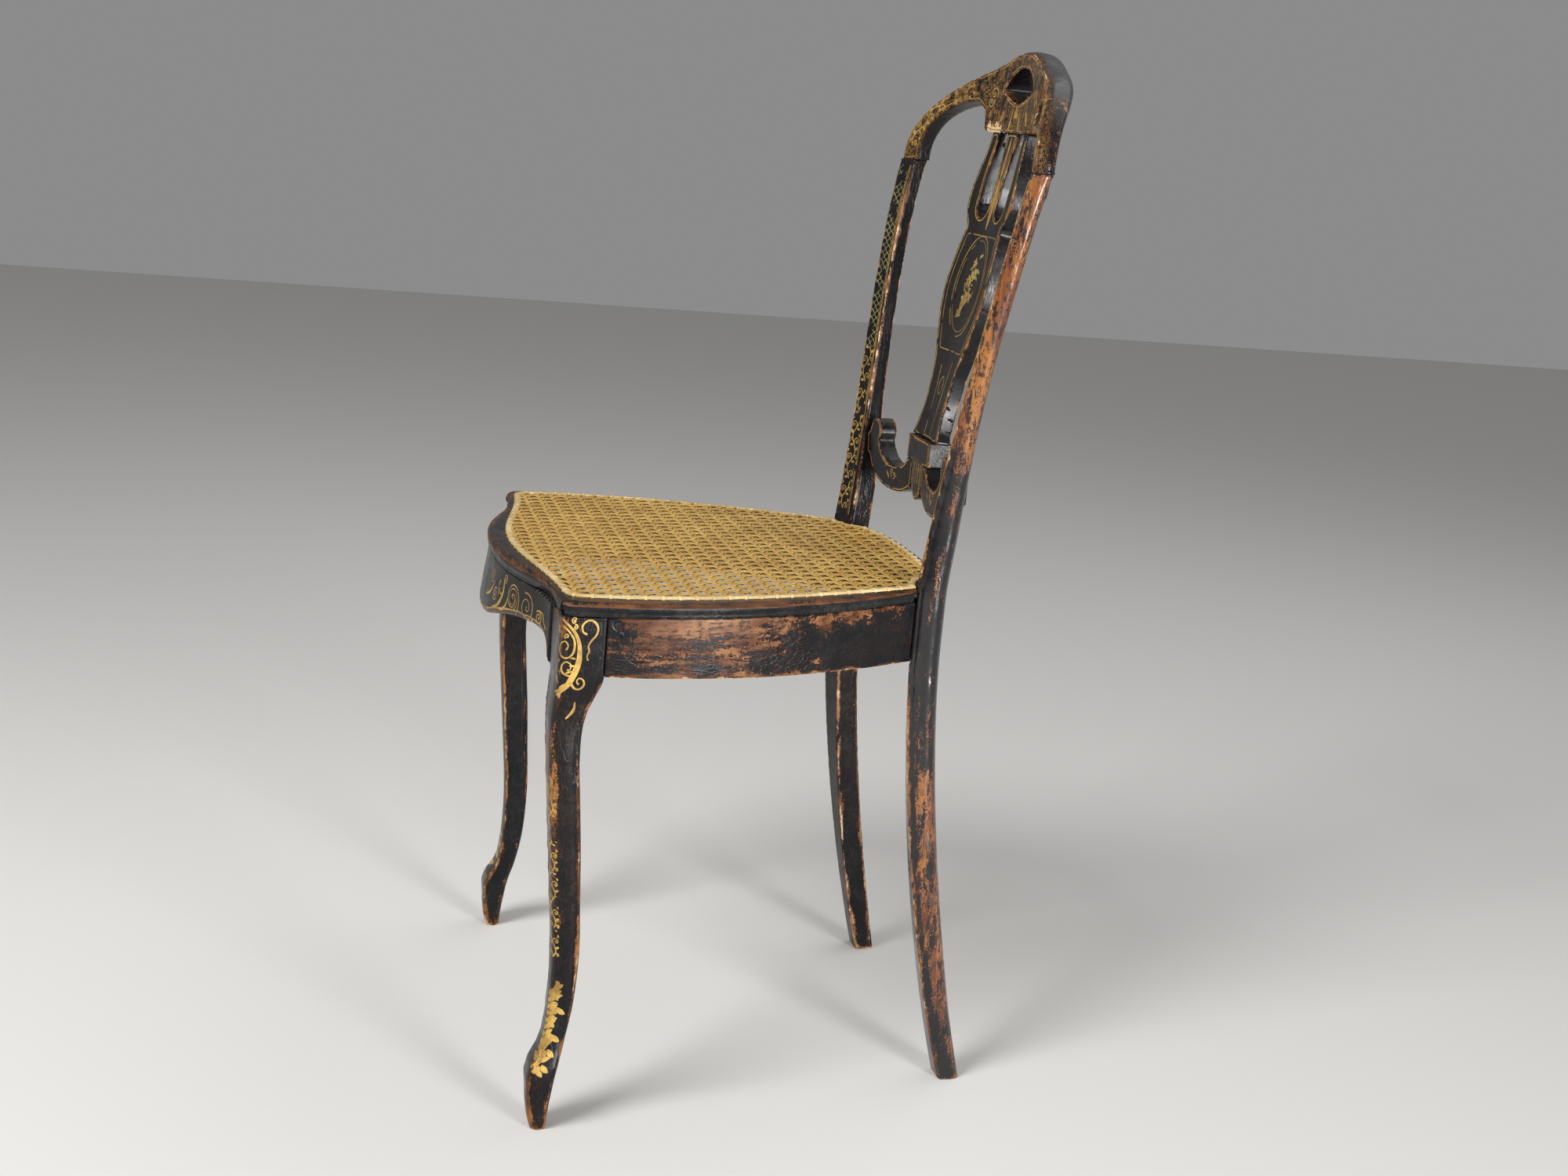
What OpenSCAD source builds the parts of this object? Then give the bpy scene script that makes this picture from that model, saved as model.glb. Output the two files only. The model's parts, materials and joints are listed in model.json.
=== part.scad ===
// Cane-seated side chair with a balloon back, cabriole front legs and raked rear legs.
// Millimetres. +Z is up, the front faces -Y, and the sitter's left is +X.

/* [Overall] */
// Height of the seat's top above the floor
seat_h = 450; // [400:1:540]
// Height of the crest's top above the floor
back_h = 903; // [800:1:1080]
// Width of the seat across its front corners
seat_w = 452; // [390:1:540]
// Depth of the seat from its front corners to the stiles
seat_d = 309; // [270:1:370]
// Width of the back at the seat, over the stiles
back_w_low = 290; // [250:1:330]
// Width of the back at the crest joints, over the stiles
back_w_top = 370; // [320:1:440]

/* [Seat frame] */
// Thickness of the caned frame that lies on the rails
frame_t = 12; // [11:1:18]
// How far the frame stands out over the rails
frame_lip = 4; // [2:0.5:6]
// How far the middle of the front swells ahead of the corners
front_bulge = 40; // [25:1:50]
// How far the middle of the rear rail bows behind the stiles
rear_bow = 15; // [5:1:20]
// Radius of the rounded front corners
ear_r = 12; // [8:1:14]
// Bare wood between the front edge and the cane
border_front = 20; // [17:1:26]
// Bare wood between a side edge and the cane
border_side = 20; // [17:1:26]
// Bare wood between the rear edge and the cane
border_rear = 12; // [10:1:15]

/* [Cane] */
// Distance between two cane holes
hole_pitch = 14; // [11:0.5:18]
// Diameter of a cane hole
hole_d = 4.5; // [3:0.5:6]
// Wood left between the holes and the opening
hole_margin = 10; // [7:0.5:13]
// Thickness of the woven cane
cane_t = 1.6; // [1:0.1:2.5]
// Width of the binding cane
binder_w = 5; // [4:0.5:7]
// Thickness of the binding cane
binder_t = 1.2; // [0.8:0.1:2]

/* [Rails] */
// Height of the side and rear rails
rail_h = 48; // [40:1:56]
// Thickness of the rails
rail_t = 18; // [14:1:22]
// How much lower a side rail's foot ends at the rear than at the front
side_drop = 4.5; // [0:0.5:8]
// How much the front rail swells out at its foot
front_swell = 7; // [4:1:10]
// Rise of the front rail's lower edge between its middle and its arches
front_rise = 20; // [8:1:26]

/* [Front legs] */
// Width of a front leg's square top, along the front rail
block_w = 57; // [46:1:62]
// Depth of a front leg's square top, along the side rail
block_d = 37; // [30:1:42]
// Width of a front leg at the knee
knee_w = 46; // [38:1:50]
// Width of a front leg at the ankle
ankle_w = 26; // [22:1:32]
// Depth of a front leg at the ankle
ankle_d = 19; // [16:1:26]
// Depth of a front leg at the toe
toe_d = 25; // [20:1:32]
// How far the ankle stands behind the knee
ankle_back = 13; // [6:1:18]
// How far the toe kicks out sideways from the ankle
toe_out = 9; // [3:1:12]

/* [Back] */
// Width of a stile at the seat
stile_w_low = 34; // [28:1:38]
// Width of a stile at the crest
stile_w_top = 26; // [22:1:30]
// Depth of a stile at the seat
stile_d_low = 26; // [21:1:30]
// Depth of a stile at the crest
stile_d_top = 17.5; // [15:0.5:22]
// Angle that a stile's front face turns towards the middle
face_turn = 17; // [8:1:22]
// How far the stiles lean back between the seat and the crest
stile_lean = 45; // [25:1:60]
// How far the rear feet stand behind the seat
foot_rake = 58; // [30:1:70]
// How far each rear foot stands outside the seat's stile
foot_splay = 10; // [0:1:20]
// Width of a rear foot
rear_foot_w = 24; // [20:1:28]

/* [Crest and splat] */
// Height of the crest rail, from its joints to its top
crest_rise = 102; // [90:1:120]
// How far the middle of the crest stands behind its joints
crest_bow = 51; // [30:1:60]
// Thickness of the crest in the middle
crest_t = 28; // [24:1:32]
// Width of the pierced opening in the crest
heart_w = 76; // [60:1:84]
// Height of the pierced opening in the crest
heart_h = 30; // [20:1:32]
// Width of the tab that takes the splat
tab_w = 128; // [116:1:140]
// Width of the splat at its widest
splat_w = 110; // [96:1:112]
// Thickness of the splat
splat_t = 13; // [10:1:16]
// Angle of the splat from upright
splat_lean = 10.5; // [8:0.5:13]

/* [Cross rail] */
// Height of the scrolls' lowest point above the seat
cross_clear = 48; // [38:1:60]
// Width of the block under the splat
base_w = 62; // [54:1:72]
// Height of the block under the splat
base_h = 22; // [18:1:28]
// Depth of the block under the splat
base_d = 23; // [20:1:28]
// Width of the leaf between the scrolls
leaf_w = 32; // [24:1:38]
// Thickness of the scrolls
scroll_t = 17; // [14:1:20]
// Width of the scrolls' band
band_w = 23; // [18:1:26]

/* [Joinery] */
// Diameter of the dowels
dowel_d = 8; // [6:0.5:9]
// How deep a dowel goes into each piece
dowel_depth = 18; // [12:1:20]
// Gap round a dowel or a tenon
joint_gap = 0.1; // [0.05:0.05:0.2]
// Diameter of the pegs that lock the side rails
peg_d = 6; // [4:0.5:8]

/* [Hidden] */

big = 2000;
steps = 14;
BLACK = "#23211f";
WORN = "#7a4a2a";
WOOD = "#b98a55";
CANE = "#d8b25c";

// Heights
frame_z = seat_h - frame_t;
rail_z = frame_z - rail_h;
knee_z = rail_z - 8;
crest_z = back_h - crest_rise;

// Plan of the seat
corner_x = seat_w / 2;
ear = 4;
stile_x = back_w_low / 2;

/* ---- curves ---- */

function mix(a, b, t) = a + (b - a) * t;
function clamp(t) = min(1, max(0, t));
function ease(t) = let (u = clamp(t)) u * u * (3 - 2 * u);
function bez(p, t) =
    pow(1 - t, 3) * p[0] + 3 * pow(1 - t, 2) * t * p[1] + 3 * (1 - t) * t * t * p[2] + t * t * t * p[3];
function bez_line(p, n = steps) = [for (i = [0:n]) bez(p, i / n)];
function arc_line(c, r, a, b, n = 6) = [for (i = [0:n]) let (q = mix(a, b, i / n)) c + r * [cos(q), sin(q)]];
function tail(list) = [for (i = [1:len(list) - 1]) list[i]];
function turned(list) = [for (i = [len(list) - 1:-1:0]) list[i]];
function unit(v) = v / norm(v);

// A line of points moved to its left by d
function shifted(list, d) = [for (i = [0:len(list) - 1]) let (
    a = list[max(0, i - 1)],
    b = list[min(len(list) - 1, i + 1)],
    v = unit(b - a)
) list[i] + d * [-v[1], v[0]]];

// Value of a smooth curve through rows [key, value, ...] at key k, column c
function slope(rows, i, c) = let (
    a = rows[max(0, i - 1)],
    b = rows[min(len(rows) - 1, i + 1)]
) (b[c] - a[c]) / (b[0] - a[0]);
function span(rows, k, i = 0) = (i >= len(rows) - 2 || k <= rows[i + 1][0]) ? i : span(rows, k, i + 1);
function smooth(rows, k, c) = let (
    i = span(rows, k),
    h = rows[i + 1][0] - rows[i][0],
    t = (k - rows[i][0]) / h,
    t2 = t * t,
    t3 = t2 * t
) (2 * t3 - 3 * t2 + 1) * rows[i][c] + (t3 - 2 * t2 + t) * h * slope(rows, i, c)
    + (3 * t2 - 2 * t3) * rows[i + 1][c] + (t3 - t2) * h * slope(rows, i + 1, c);

// A closed solid through rings that have the same number of points
module skin(rings) {
    n = len(rings[0]);
    m = len(rings);
    points = [for (r = rings) each r];
    sides = [for (j = [0:m - 2], i = [0:n - 1]) let (
        a = j * n + i,
        b = j * n + (i + 1) % n
    ) each [[a, a + n, b], [b, a + n, b + n]]];
    first = [for (i = [0:n - 1]) i];
    last = [for (i = [n - 1:-1:0]) (m - 1) * n + i];
    polyhedron(points, concat([first], sides, [last]));
}

// Rounded rectangle round the origin: front corners rf, back corners rb
function pad(w, d, rf, rb, n = 3) = concat(
    arc_line([w / 2 - rf, -d / 2 + rf], rf, -90, 0, n),
    arc_line([w / 2 - rb, d / 2 - rb], rb, 0, 90, n),
    arc_line([-w / 2 + rb, d / 2 - rb], rb, 90, 180, n),
    arc_line([-w / 2 + rf, -d / 2 + rf], rf, 180, 270, n)
);
function laid(list, at, turn, z) = [for (p = list) [
    at[0] + p[0] * cos(turn) + p[1] * sin(turn),
    at[1] - p[0] * sin(turn) + p[1] * cos(turn),
    z
]];

/* ---- plan of the seat, right half as seen from above (+X) ---- */

front_edge = bez_line([
    [0, -front_bulge], [corner_x - 120, -front_bulge], [corner_x - 96, -6], [corner_x - 48, -6]
]);
ear_edge = arc_line([corner_x - ear_r, ear_r - ear], ear_r, -90, 0);
side_edge = bez_line([
    [corner_x, ear_r - ear], [corner_x + 8, seat_d * 0.34],
    [corner_x - 14, seat_d * 0.65], [stile_x, seat_d]
]);

// The stile's section where it passes the seat
stile_in = stile_w_low / 2 * [-cos(face_turn), sin(face_turn)] + stile_d_low / 2 * [sin(face_turn), cos(face_turn)];
stile_at = [stile_x, seat_d] + stile_in;
stile_pad = pad(stile_w_low, stile_d_low, 2.5, 6);
stile_plan = [for (p = laid(stile_pad, stile_at, face_turn, 0)) [p[0], p[1]]];
stile_rear = stile_at + stile_w_low / 2 * [-cos(face_turn), sin(face_turn)]
    + (stile_d_low / 2 - 4) * [sin(face_turn), cos(face_turn)];
rear_y = stile_rear[1] + rear_bow;
rear_edge = bez_line([
    stile_rear, [stile_rear[0] * 0.7, rear_y - 1], [stile_rear[0] * 0.35, rear_y], [0, rear_y]
], 8);
half_edge = concat(front_edge, ear_edge, tail(side_edge), rear_edge);

// Half of a line that lies m inside the edge of the cane
stile_inward = [-cos(face_turn), sin(face_turn)];
stile_back = [sin(face_turn), cos(face_turn)];
stile_front = [stile_x, seat_d];
corner_in = stile_front + stile_w_low * stile_inward;
function cane_line(m) = let (
    side = corner_x - border_side - m,
    front = border_front - front_bulge + m,
    r = 12 - 0.8 * m,
    a = stile_front + (5 + 0.5 * m) * stile_inward - (5 + 0.9 * m) * stile_back,
    b = corner_in + (6 + m) * stile_inward + 3 * stile_back,
    rear = rear_y - border_rear - m
) concat(
    bez_line([[0, front], [corner_x - 156, front], [corner_x - 108, 1 + m], [side - r, 5 + m]]),
    tail(arc_line([side - r, 5 + m + r], r, -90, 0, 4)),
    tail(bez_line([[side, 5 + m + r], [side + 7, seat_d * 0.31], [side - 12, seat_d * 0.61], a])),
    tail(bez_line([a, a + 14 * stile_inward, corner_in + 6 * stile_inward - (5 + m) * stile_back, b], 6)),
    tail(bez_line([b, b + (7 - 0.5 * m) * stile_back, [stile_rear[0] * 0.62, rear], [0, rear]], 8))
);
half_cane = cane_line(0);
function closed(half) = concat(half, [for (i = [len(half) - 2:-1:1]) [-half[i][0], half[i][1]]]);
function inset(half, d) = let (s = shifted(half, d), n = len(s) - 1)
    concat([[0, s[0][1]]], [for (i = [1:n - 1]) s[i]], [[0, s[n][1]]]);

// Holes at an even pitch along the edge of the cane
function run_to(list, i) = i == 0 ? 0 : run_to(list, i - 1) + norm(list[i] - list[i - 1]);
runs = [for (i = [0:len(half_cane) - 1]) [run_to(half_cane, i), half_cane[i][0], half_cane[i][1]]];
half_run = runs[len(runs) - 1][0];
holes = floor(half_run / hole_pitch);
function on_cane(s) = let (i = span(runs, s), t = (s - runs[i][0]) / (runs[i + 1][0] - runs[i][0]))
    [mix(runs[i][1], runs[i + 1][1], t), mix(runs[i][2], runs[i + 1][2], t)];
hole_at = [for (i = [0:holes - 1]) on_cane((i + 0.5) * half_run / holes)];

/* ---- heights of the back ---- */

// Front outer corner of a stile at height z
function stile_rise(z) = clamp((z - seat_h) / (crest_z - seat_h));
function stile_drop(z) = clamp((rail_z - z) / rail_z);
function stile_w(z) = z > seat_h
    ? mix(stile_w_low, stile_w_top, ease(stile_rise(z) * 2.5))
    : mix(stile_w_low, rear_foot_w, pow(stile_drop(z), 1.2));
function stile_d(z) = z > seat_h
    ? mix(stile_d_low, stile_d_top, ease(stile_rise(z) * 1.6))
    : stile_d_low - 5 * pow(stile_drop(z), 6);
function stile_turn(z) = face_turn * (1 - stile_drop(z));
function stile_corner(z) = [
    mix(stile_x, back_w_top / 2, ease(pow(stile_rise(z), 1.15))),
    seat_d + stile_lean * (0.86 * stile_rise(z) + 0.14 * pow(stile_rise(z), 6))
];
function stile_mid(z) = z > seat_h
    ? stile_corner(z) + stile_w(z) / 2 * [-cos(face_turn), sin(face_turn)]
        + stile_d(z) / 2 * [sin(face_turn), cos(face_turn)]
    : stile_at + [foot_splay * stile_drop(z), foot_rake * pow(stile_drop(z), 1.65)];
function stile_ring(z) = laid(
    pad(stile_w(z), stile_d(z), 2.5, min(8, stile_d(z) / 2 - 2)), stile_mid(z), stile_turn(z), z
);

/* ---- crest ---- */

crest_mid_y = stile_mid(crest_z)[1] + crest_bow;
top_x = back_w_top / 2;
in_x = top_x - stile_w_top * cos(face_turn);
crest_out = concat(
    bez_line([[top_x, crest_z], [top_x + 1, crest_z + 34], [top_x - 35, crest_z + 65], [78, back_h - 19]], 12),
    tail(bez_line([[78, back_h - 19], [45, back_h - 13], [26, back_h], [0, back_h]], 8))
);
crest_in = concat(
    bez_line([[in_x, crest_z], [in_x, crest_z + 36], [in_x - 30, crest_z + 55], [86, crest_z + 56]], 12),
    tail(bez_line([[86, crest_z + 56], [60, crest_z + 53], [30, crest_z + 50], [0, crest_z + 50]], 8))
);
crest_lean = 5;
function crest_ring(i) = let (
    t = i / (len(crest_out) - 1),
    turn = face_turn * (1 - ease(t * 1.1)),
    lean = crest_lean * ease(t * 2),
    o = crest_out[i],
    n = crest_in[i],
    mid = (o + n) / 2,
    rise = i == 0 ? 0 : o[1] - n[1],
    run = o[0] - n[0],
    w = [run, -tan(turn) * run + tan(lean) * rise, rise],
    b = unit([sin(turn), cos(turn), -tan(lean) * cos(turn)]),
    share = mid[0] / stile_mid(crest_z)[0],
    at = [mid[0], crest_mid_y - crest_bow * share * share, mid[1]],
    d = mix(stile_d_top, crest_t, ease(t * 1.3)),
    list = pad(norm(w), d, 2.5 + 2 * ease(t * 4), min(8, d / 2 - 2))
) [for (p = list) at + p[0] * unit(w) + p[1] * b];
function mirrored(ring) = [for (p = ring) [-p[0], p[1], p[2]]];

tab_z = crest_z + 31;
band_r = (top_x * top_x + crest_bow * crest_bow) / (2 * crest_bow);
// Lower half of the middle, from its flat underside up into the arch
tab_half = concat(
    [[0, -6], [tab_w / 2 - 8, -6], [tab_w / 2 - 8, 0]],
    arc_line([tab_w / 2 - 6, 6], 6, -60, 0, 2),
    bez_line([[tab_w / 2, 8], [tab_w / 2 + 2, 18], [tab_w / 2 + 8, 24], [tab_w / 2 + 22, 27]], 5),
    [[tab_w / 2 + 14, 40], [0, 44]]
);
heart_z = tab_z + 26;
heart_half = concat(
    bez_line([[0, heart_z], [heart_w * 0.12, heart_z], [heart_w * 0.3, heart_z + 5],
        [heart_w / 2, heart_z + heart_h * 0.34]], 5),
    tail(bez_line([[heart_w / 2, heart_z + heart_h * 0.34], [heart_w * 0.36, heart_z + heart_h * 0.8],
        [heart_w * 0.2, heart_z + heart_h], [0, heart_z + heart_h]], 6))
);

/* ---- splat and cross rail ---- */

cross_z = seat_h + cross_clear;
base_bottom = cross_z + 37;
base_top = base_bottom + base_h;
tab_y = crest_mid_y - crest_t / 2 - ((back_h + crest_z + 50) / 2 - tab_z) * tan(crest_lean);
splat_foot_y = tab_y + 1 - (tab_z - base_top) * tan(splat_lean);
splat_len = (tab_z - base_top) / cos(splat_lean);
base_y = splat_foot_y - 6;
splat_rows = [
    [-10, 36], [0, 35], [12, 31], [30, 28], [50, 29], [70, 33], [92, 43], [116, splat_w / 2 - 3],
    [142, splat_w / 2], [168, splat_w / 2 - 4], [184, 47], [192, 44], [199, 50], [215, splat_w / 2 + 1],
    [238, splat_w / 2 - 2], [262, splat_w / 2 - 8], [298, splat_w / 2 - 12]
];
splat_share = splat_len / 278;
splat_edge = [for (s = [-10:4:298]) [smooth(splat_rows, s, 1), s * splat_share]];
// One of the two tear-shaped openings above the medallion
drop_edge = [for (p = concat(
    arc_line([22, 215], 14, 180, 360, 8),
    [[36, 230], [34.5, 248], [32, 270], [30, 310], [12, 310], [13, 270], [10, 248], [8, 230]]
)) [p[0], p[1] * splat_share]];
scroll_x = leaf_w / 2;
scroll_reach = 103;
scroll_turn = 7;
volute = [scroll_reach - 12, 48];
scroll_edge = concat(
    bez_line([[0, 12], [12, 2], [28, 0], [45, 0]], 6),
    tail(bez_line([[45, 0], [74, 0], [scroll_reach, 8], [scroll_reach, 40]], 10)),
    arc_line(volute, 12, 0, 220, 12),
    tail(bez_line([[81.8, 40.3], [74, 28], [62, band_w], [48, band_w]], 6)),
    tail(bez_line([[48, band_w], [30, band_w], [17, band_w + 4], [12, base_bottom - cross_z]], 6)),
    [[0, base_bottom - cross_z]]
);

/* ---- shared shapes ---- */

module below(z) { translate([-big, -big, z - 2 * big]) cube(2 * big); }
module above(z) { translate([-big, -big, z]) cube(2 * big); }

// A board bowed in plan like the back, front face at y = 0 in the middle
module bowed(t, z0, z1) {
    translate([0, -band_r, z0]) intersection() {
        difference() {
            cylinder(r = band_r + t, h = z1 - z0, $fn = 120);
            translate([0, 0, -1]) cylinder(r = band_r, h = z1 - z0 + 2, $fn = 120);
        }
        translate([-band_r, band_r / 2, 0]) cube([2 * band_r, band_r, z1 - z0]);
    }
}
module front_view(depth) { translate([0, depth / 2, 0]) rotate([90, 0, 0]) linear_extrude(depth) children(); }
module both_halves(list) { polygon(concat(list, [for (p = turned(list)) [-p[0], p[1]]])); }
module each_side() {
    children();
    mirror([1, 0, 0]) children();
}
// A dowel, or with a gap the hole for it, centred at a place and lying at an angle in plan
module dowel(at, angle, gap = 0, depth = dowel_depth) {
    len = 2 * depth + (gap > 0 ? 2 : 0);
    translate(at) rotate([0, 90, angle]) translate([0, 0, -len / 2])
        cylinder(d = dowel_d + 2 * gap, h = len, $fn = 32);
}
low_row = rail_z + dowel_d / 2 + 6;
high_row = frame_z - dowel_d / 2 - 6;
front_row = (frame_z + rail_z + front_rise) / 2;
front_dowel_turn = 12;
module front_dowels(gap = 0) {
    dowel([front_end, block_front + rail_t / 2, front_row], front_dowel_turn, gap);
    for (z = [low_row, high_row])
        dowel([block_x + block_w / 2 - rail_t / 2, block_y + block_d / 2, z], 90, gap);
}
side_end = unit(side_edge[len(side_edge) - 1] - side_edge[len(side_edge) - 3]);
side_end_at = side_edge[len(side_edge) - 1] + (frame_lip + rail_t / 2) * [-side_end[1], side_end[0]];
module rear_dowels(gap = 0) {
    for (z = [low_row, high_row])
        dowel([side_end_at[0], side_end_at[1], z], atan2(side_end[1], side_end[0]), gap);
    dowel([stile_rear[0], stile_rear[1] - 1 - rail_t / 2, (low_row + high_row) / 2], 0, gap);
}
module crest_dowel(gap = 0) {
    at = stile_mid(crest_z);
    translate([at[0], at[1], crest_z]) rotate([0, 90, 0]) dowel([0, 0, 0], 0, gap);
}
module scroll_dowel(gap = 0) {
    translate([scroll_x, base_y + 1, cross_z]) rotate([0, 0, -scroll_turn])
        dowel([scroll_reach, scroll_t / 2, 33], 0, gap);
}
module leaf_dowel(gap = 0) {
    dowel([scroll_x, base_y + 1 + scroll_t / 2, cross_z + 23], -scroll_turn, gap, leaf_w / 2 - 2);
}

/* ---- legs ---- */

// Height share of the leg, then its middle in x and y, its width and its depth
block_x = corner_x - frame_lip + 1 - block_w / 2;
block_y = frame_lip - 2 - ear + block_d / 2;
block_front = block_y - block_d / 2;
foot_x = block_x + 16;
leg_rows = [
    [0, foot_x, 6.5, 20, 14], [0.04, foot_x, 5, 24, 18], [0.09, foot_x - 1, 5.5, 27, toe_d - 3],
    [0.135, foot_x - 2, 6.5, 30, toe_d], [0.16, foot_x - 5, 11, 28, toe_d - 3],
    [0.2, foot_x - toe_out, ankle_back + 3, ankle_w, ankle_d], [0.28, foot_x - toe_out - 1, ankle_back + 7, 27, 21],
    [0.4, foot_x - toe_out, ankle_back + 8, 28, 23], [0.52, foot_x - toe_out, ankle_back + 5, 31, 24],
    [0.63, foot_x - 8, ankle_back + 2, 34, 25], [0.74, foot_x - 7, 11.5, 37, 25],
    [0.85, foot_x - 9, 8.5, 41, 25], [0.93, block_x + 3, 9.5, knee_w, 28],
    [1, block_x, block_y, block_w - 1, block_d - 1]
];
function leg_ring(s) = let (z = s * knee_z) laid(
    pad(smooth(leg_rows, s, 3), smooth(leg_rows, s, 4), 4, 6), [smooth(leg_rows, s, 1), smooth(leg_rows, s, 2)], 0, z
);
leg_levels = concat([0, 0.015], [for (i = [1:34]) i / 34]);
module front_leg() {
    block = pad(block_w, block_d, 3, 3);
    rings = concat(
        [for (s = leg_levels) leg_ring(s)],
        [laid(block, [block_x, block_y], 0, knee_z + 5), laid(block, [block_x, block_y], 0, frame_z)]
    );
    color(BLACK) difference() {
        skin(rings);
        front_dowels(joint_gap);
    }
}
module rear_leg_body() {
    skin(concat(
        [for (i = [0:16]) stile_ring(rail_z * i / 16)],
        [stile_ring(seat_h)],
        [for (i = [1:18]) stile_ring(mix(seat_h, crest_z, i / 18))]
    ));
}
module rear_leg() {
    color(BLACK) difference() {
        rear_leg_body();
        rear_dowels(joint_gap);
        crest_dowel(joint_gap);
        scroll_dowel(joint_gap);
    }
}

/* ---- seat ---- */

nosing = [[0, 3], [3, 0.5], [frame_t - 7, 0], [frame_t - 3, 1.5], [frame_t - 1, 4], [frame_t, 7]];
module seat_slab() {
    skin([for (n = nosing) [for (p = closed(inset(half_edge, n[1]))) [p[0], p[1], frame_z + n[0]]]]);
}
mitre_out = [corner_x + 20, -21];
mitre_in = [corner_x - border_side - 14, 18];
back_in = corner_in + [-26, -20];
// One member of the caned frame: the slab inside a region, round the opening, the stiles and the cane holes
module frame_member(region) {
    color(WORN) intersection() {
        seat_slab();
        translate([0, 0, frame_z - 1]) linear_extrude(frame_t + 2) difference() {
            polygon(region);
            polygon(closed(cane_line(hole_margin)));
            polygon(stile_plan);
            polygon([for (p = turned(stile_plan)) [-p[0], p[1]]]);
            for (p = hole_at, s = [-1, 1]) translate([s * p[0], p[1]]) circle(d = hole_d, $fn = 16);
        }
    }
}
region_front = [mitre_out, [mitre_in[0], mitre_in[1]], [0, 60], [-mitre_in[0], mitre_in[1]],
    [-mitre_out[0], mitre_out[1]], [-mitre_out[0], -120], [mitre_out[0], -120]];
region_side = [mitre_out, [corner_x + 60, 0], [corner_x + 60, seat_d + 60], stile_at, corner_in, back_in,
    [60, seat_d / 2], mitre_in];
region_back = [stile_at, corner_in, back_in, [-back_in[0], back_in[1]], [-corner_in[0], corner_in[1]],
    [-stile_at[0], stile_at[1]], [-stile_at[0], rear_y + 60], [stile_at[0], rear_y + 60]];

module cane_panel() { color(CANE) translate([0, 0, seat_h]) linear_extrude(cane_t) polygon(closed(half_cane)); }
module cane_binder() {
    color("#e3cf9a") translate([0, 0, seat_h + cane_t]) linear_extrude(binder_t) difference() {
        polygon(closed(half_cane));
        polygon(closed(cane_line(binder_w)));
    }
}

/* ---- rails ---- */

function front_y(x) = let (t = [for (p = front_edge) [p[0], p[1]]]) smooth(t, abs(x), 1) + frame_lip;
front_foot = rail_z - 3;
front_end = block_x - block_w / 2;
front_low = concat(
    bez_line([[0, front_foot], [45, front_foot], [70, front_foot + front_rise],
        [front_end - 38, front_foot + front_rise]], 10),
    tail(bez_line([[front_end - 38, front_foot + front_rise], [front_end - 18, front_foot + front_rise],
        [front_end - 6, front_foot + 17], [front_end, knee_z]], 7))
);
function front_swell_at(x) = 0.8 + (front_swell - 0.8) * pow(cos(90 * clamp(abs(x) / 130)), 2);
function front_ring(p, s) = let (y = front_y(p[0]), w = front_swell_at(p[0]), z = p[1], h = frame_z - p[1])
    [for (q = [[0, frame_z], [-0.35, frame_z - h * 0.35], [-0.8, z + h * 0.3], [-1, z + 4]])
        [s * p[0], y + w * q[0], q[1]]];
function front_section(p, s) = concat(
    front_ring(p, s), [[s * p[0], front_y(p[0]) - front_swell_at(p[0]) + 2, p[1]],
    [s * p[0], front_y(p[0]) + rail_t, p[1]], [s * p[0], front_y(p[0]) + rail_t, frame_z]]
);
module apron_front() {
    color(BLACK) difference() {
        skin(concat([for (p = turned(tail(front_low))) front_section(p, -1)], [for (p = front_low) front_section(p, 1)]));
        each_side() front_dowels(joint_gap);
    }
}
side_run = concat(side_edge, [side_edge[len(side_edge) - 1] + 16 * side_end]);
side_band = concat(shifted(side_run, frame_lip), turned(shifted(side_run, frame_lip + rail_t)));
module side_rail() {
    color(BLACK) difference() {
        translate([0, 0, rail_z - side_drop]) linear_extrude(rail_h + side_drop) difference() {
            polygon(side_band);
            translate([0, -100]) square([big, 100 + block_y + block_d / 2]);
            polygon(stile_plan);
        }
        translate([0, block_y, rail_z]) rotate([-atan(side_drop / (seat_d - block_y)), 0, 0]) below(0);
        front_dowels(joint_gap);
        rear_dowels(joint_gap);
        rail_plug(joint_gap);
    }
}
rear_run = concat([rear_edge[0] + [8, -3]], rear_edge);
rear_band = concat(shifted(rear_run, 2), turned(shifted(rear_run, 2 + rail_t)));
module apron_back() {
    color(BLACK) difference() {
        translate([0, 0, rail_z]) linear_extrude(rail_h) difference() {
            union() {
                polygon(rear_band);
                polygon([for (p = turned(rear_band)) [-p[0], p[1]]]);
            }
            polygon(stile_plan);
            polygon([for (p = turned(stile_plan)) [-p[0], p[1]]]);
        }
        each_side() rear_dowels(joint_gap);
    }
}

plug_y = block_y + block_d / 2 + 8;
plug_depth = 4;
module rail_plug(gap = 0) {
    translate([corner_x - frame_lip + 1 - plug_depth, plug_y, high_row + 4]) rotate([0, 90, 0])
        cylinder(d = peg_d + 2 * gap, h = 2 * plug_depth, $fn = 24);
}

/* ---- back ---- */

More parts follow.
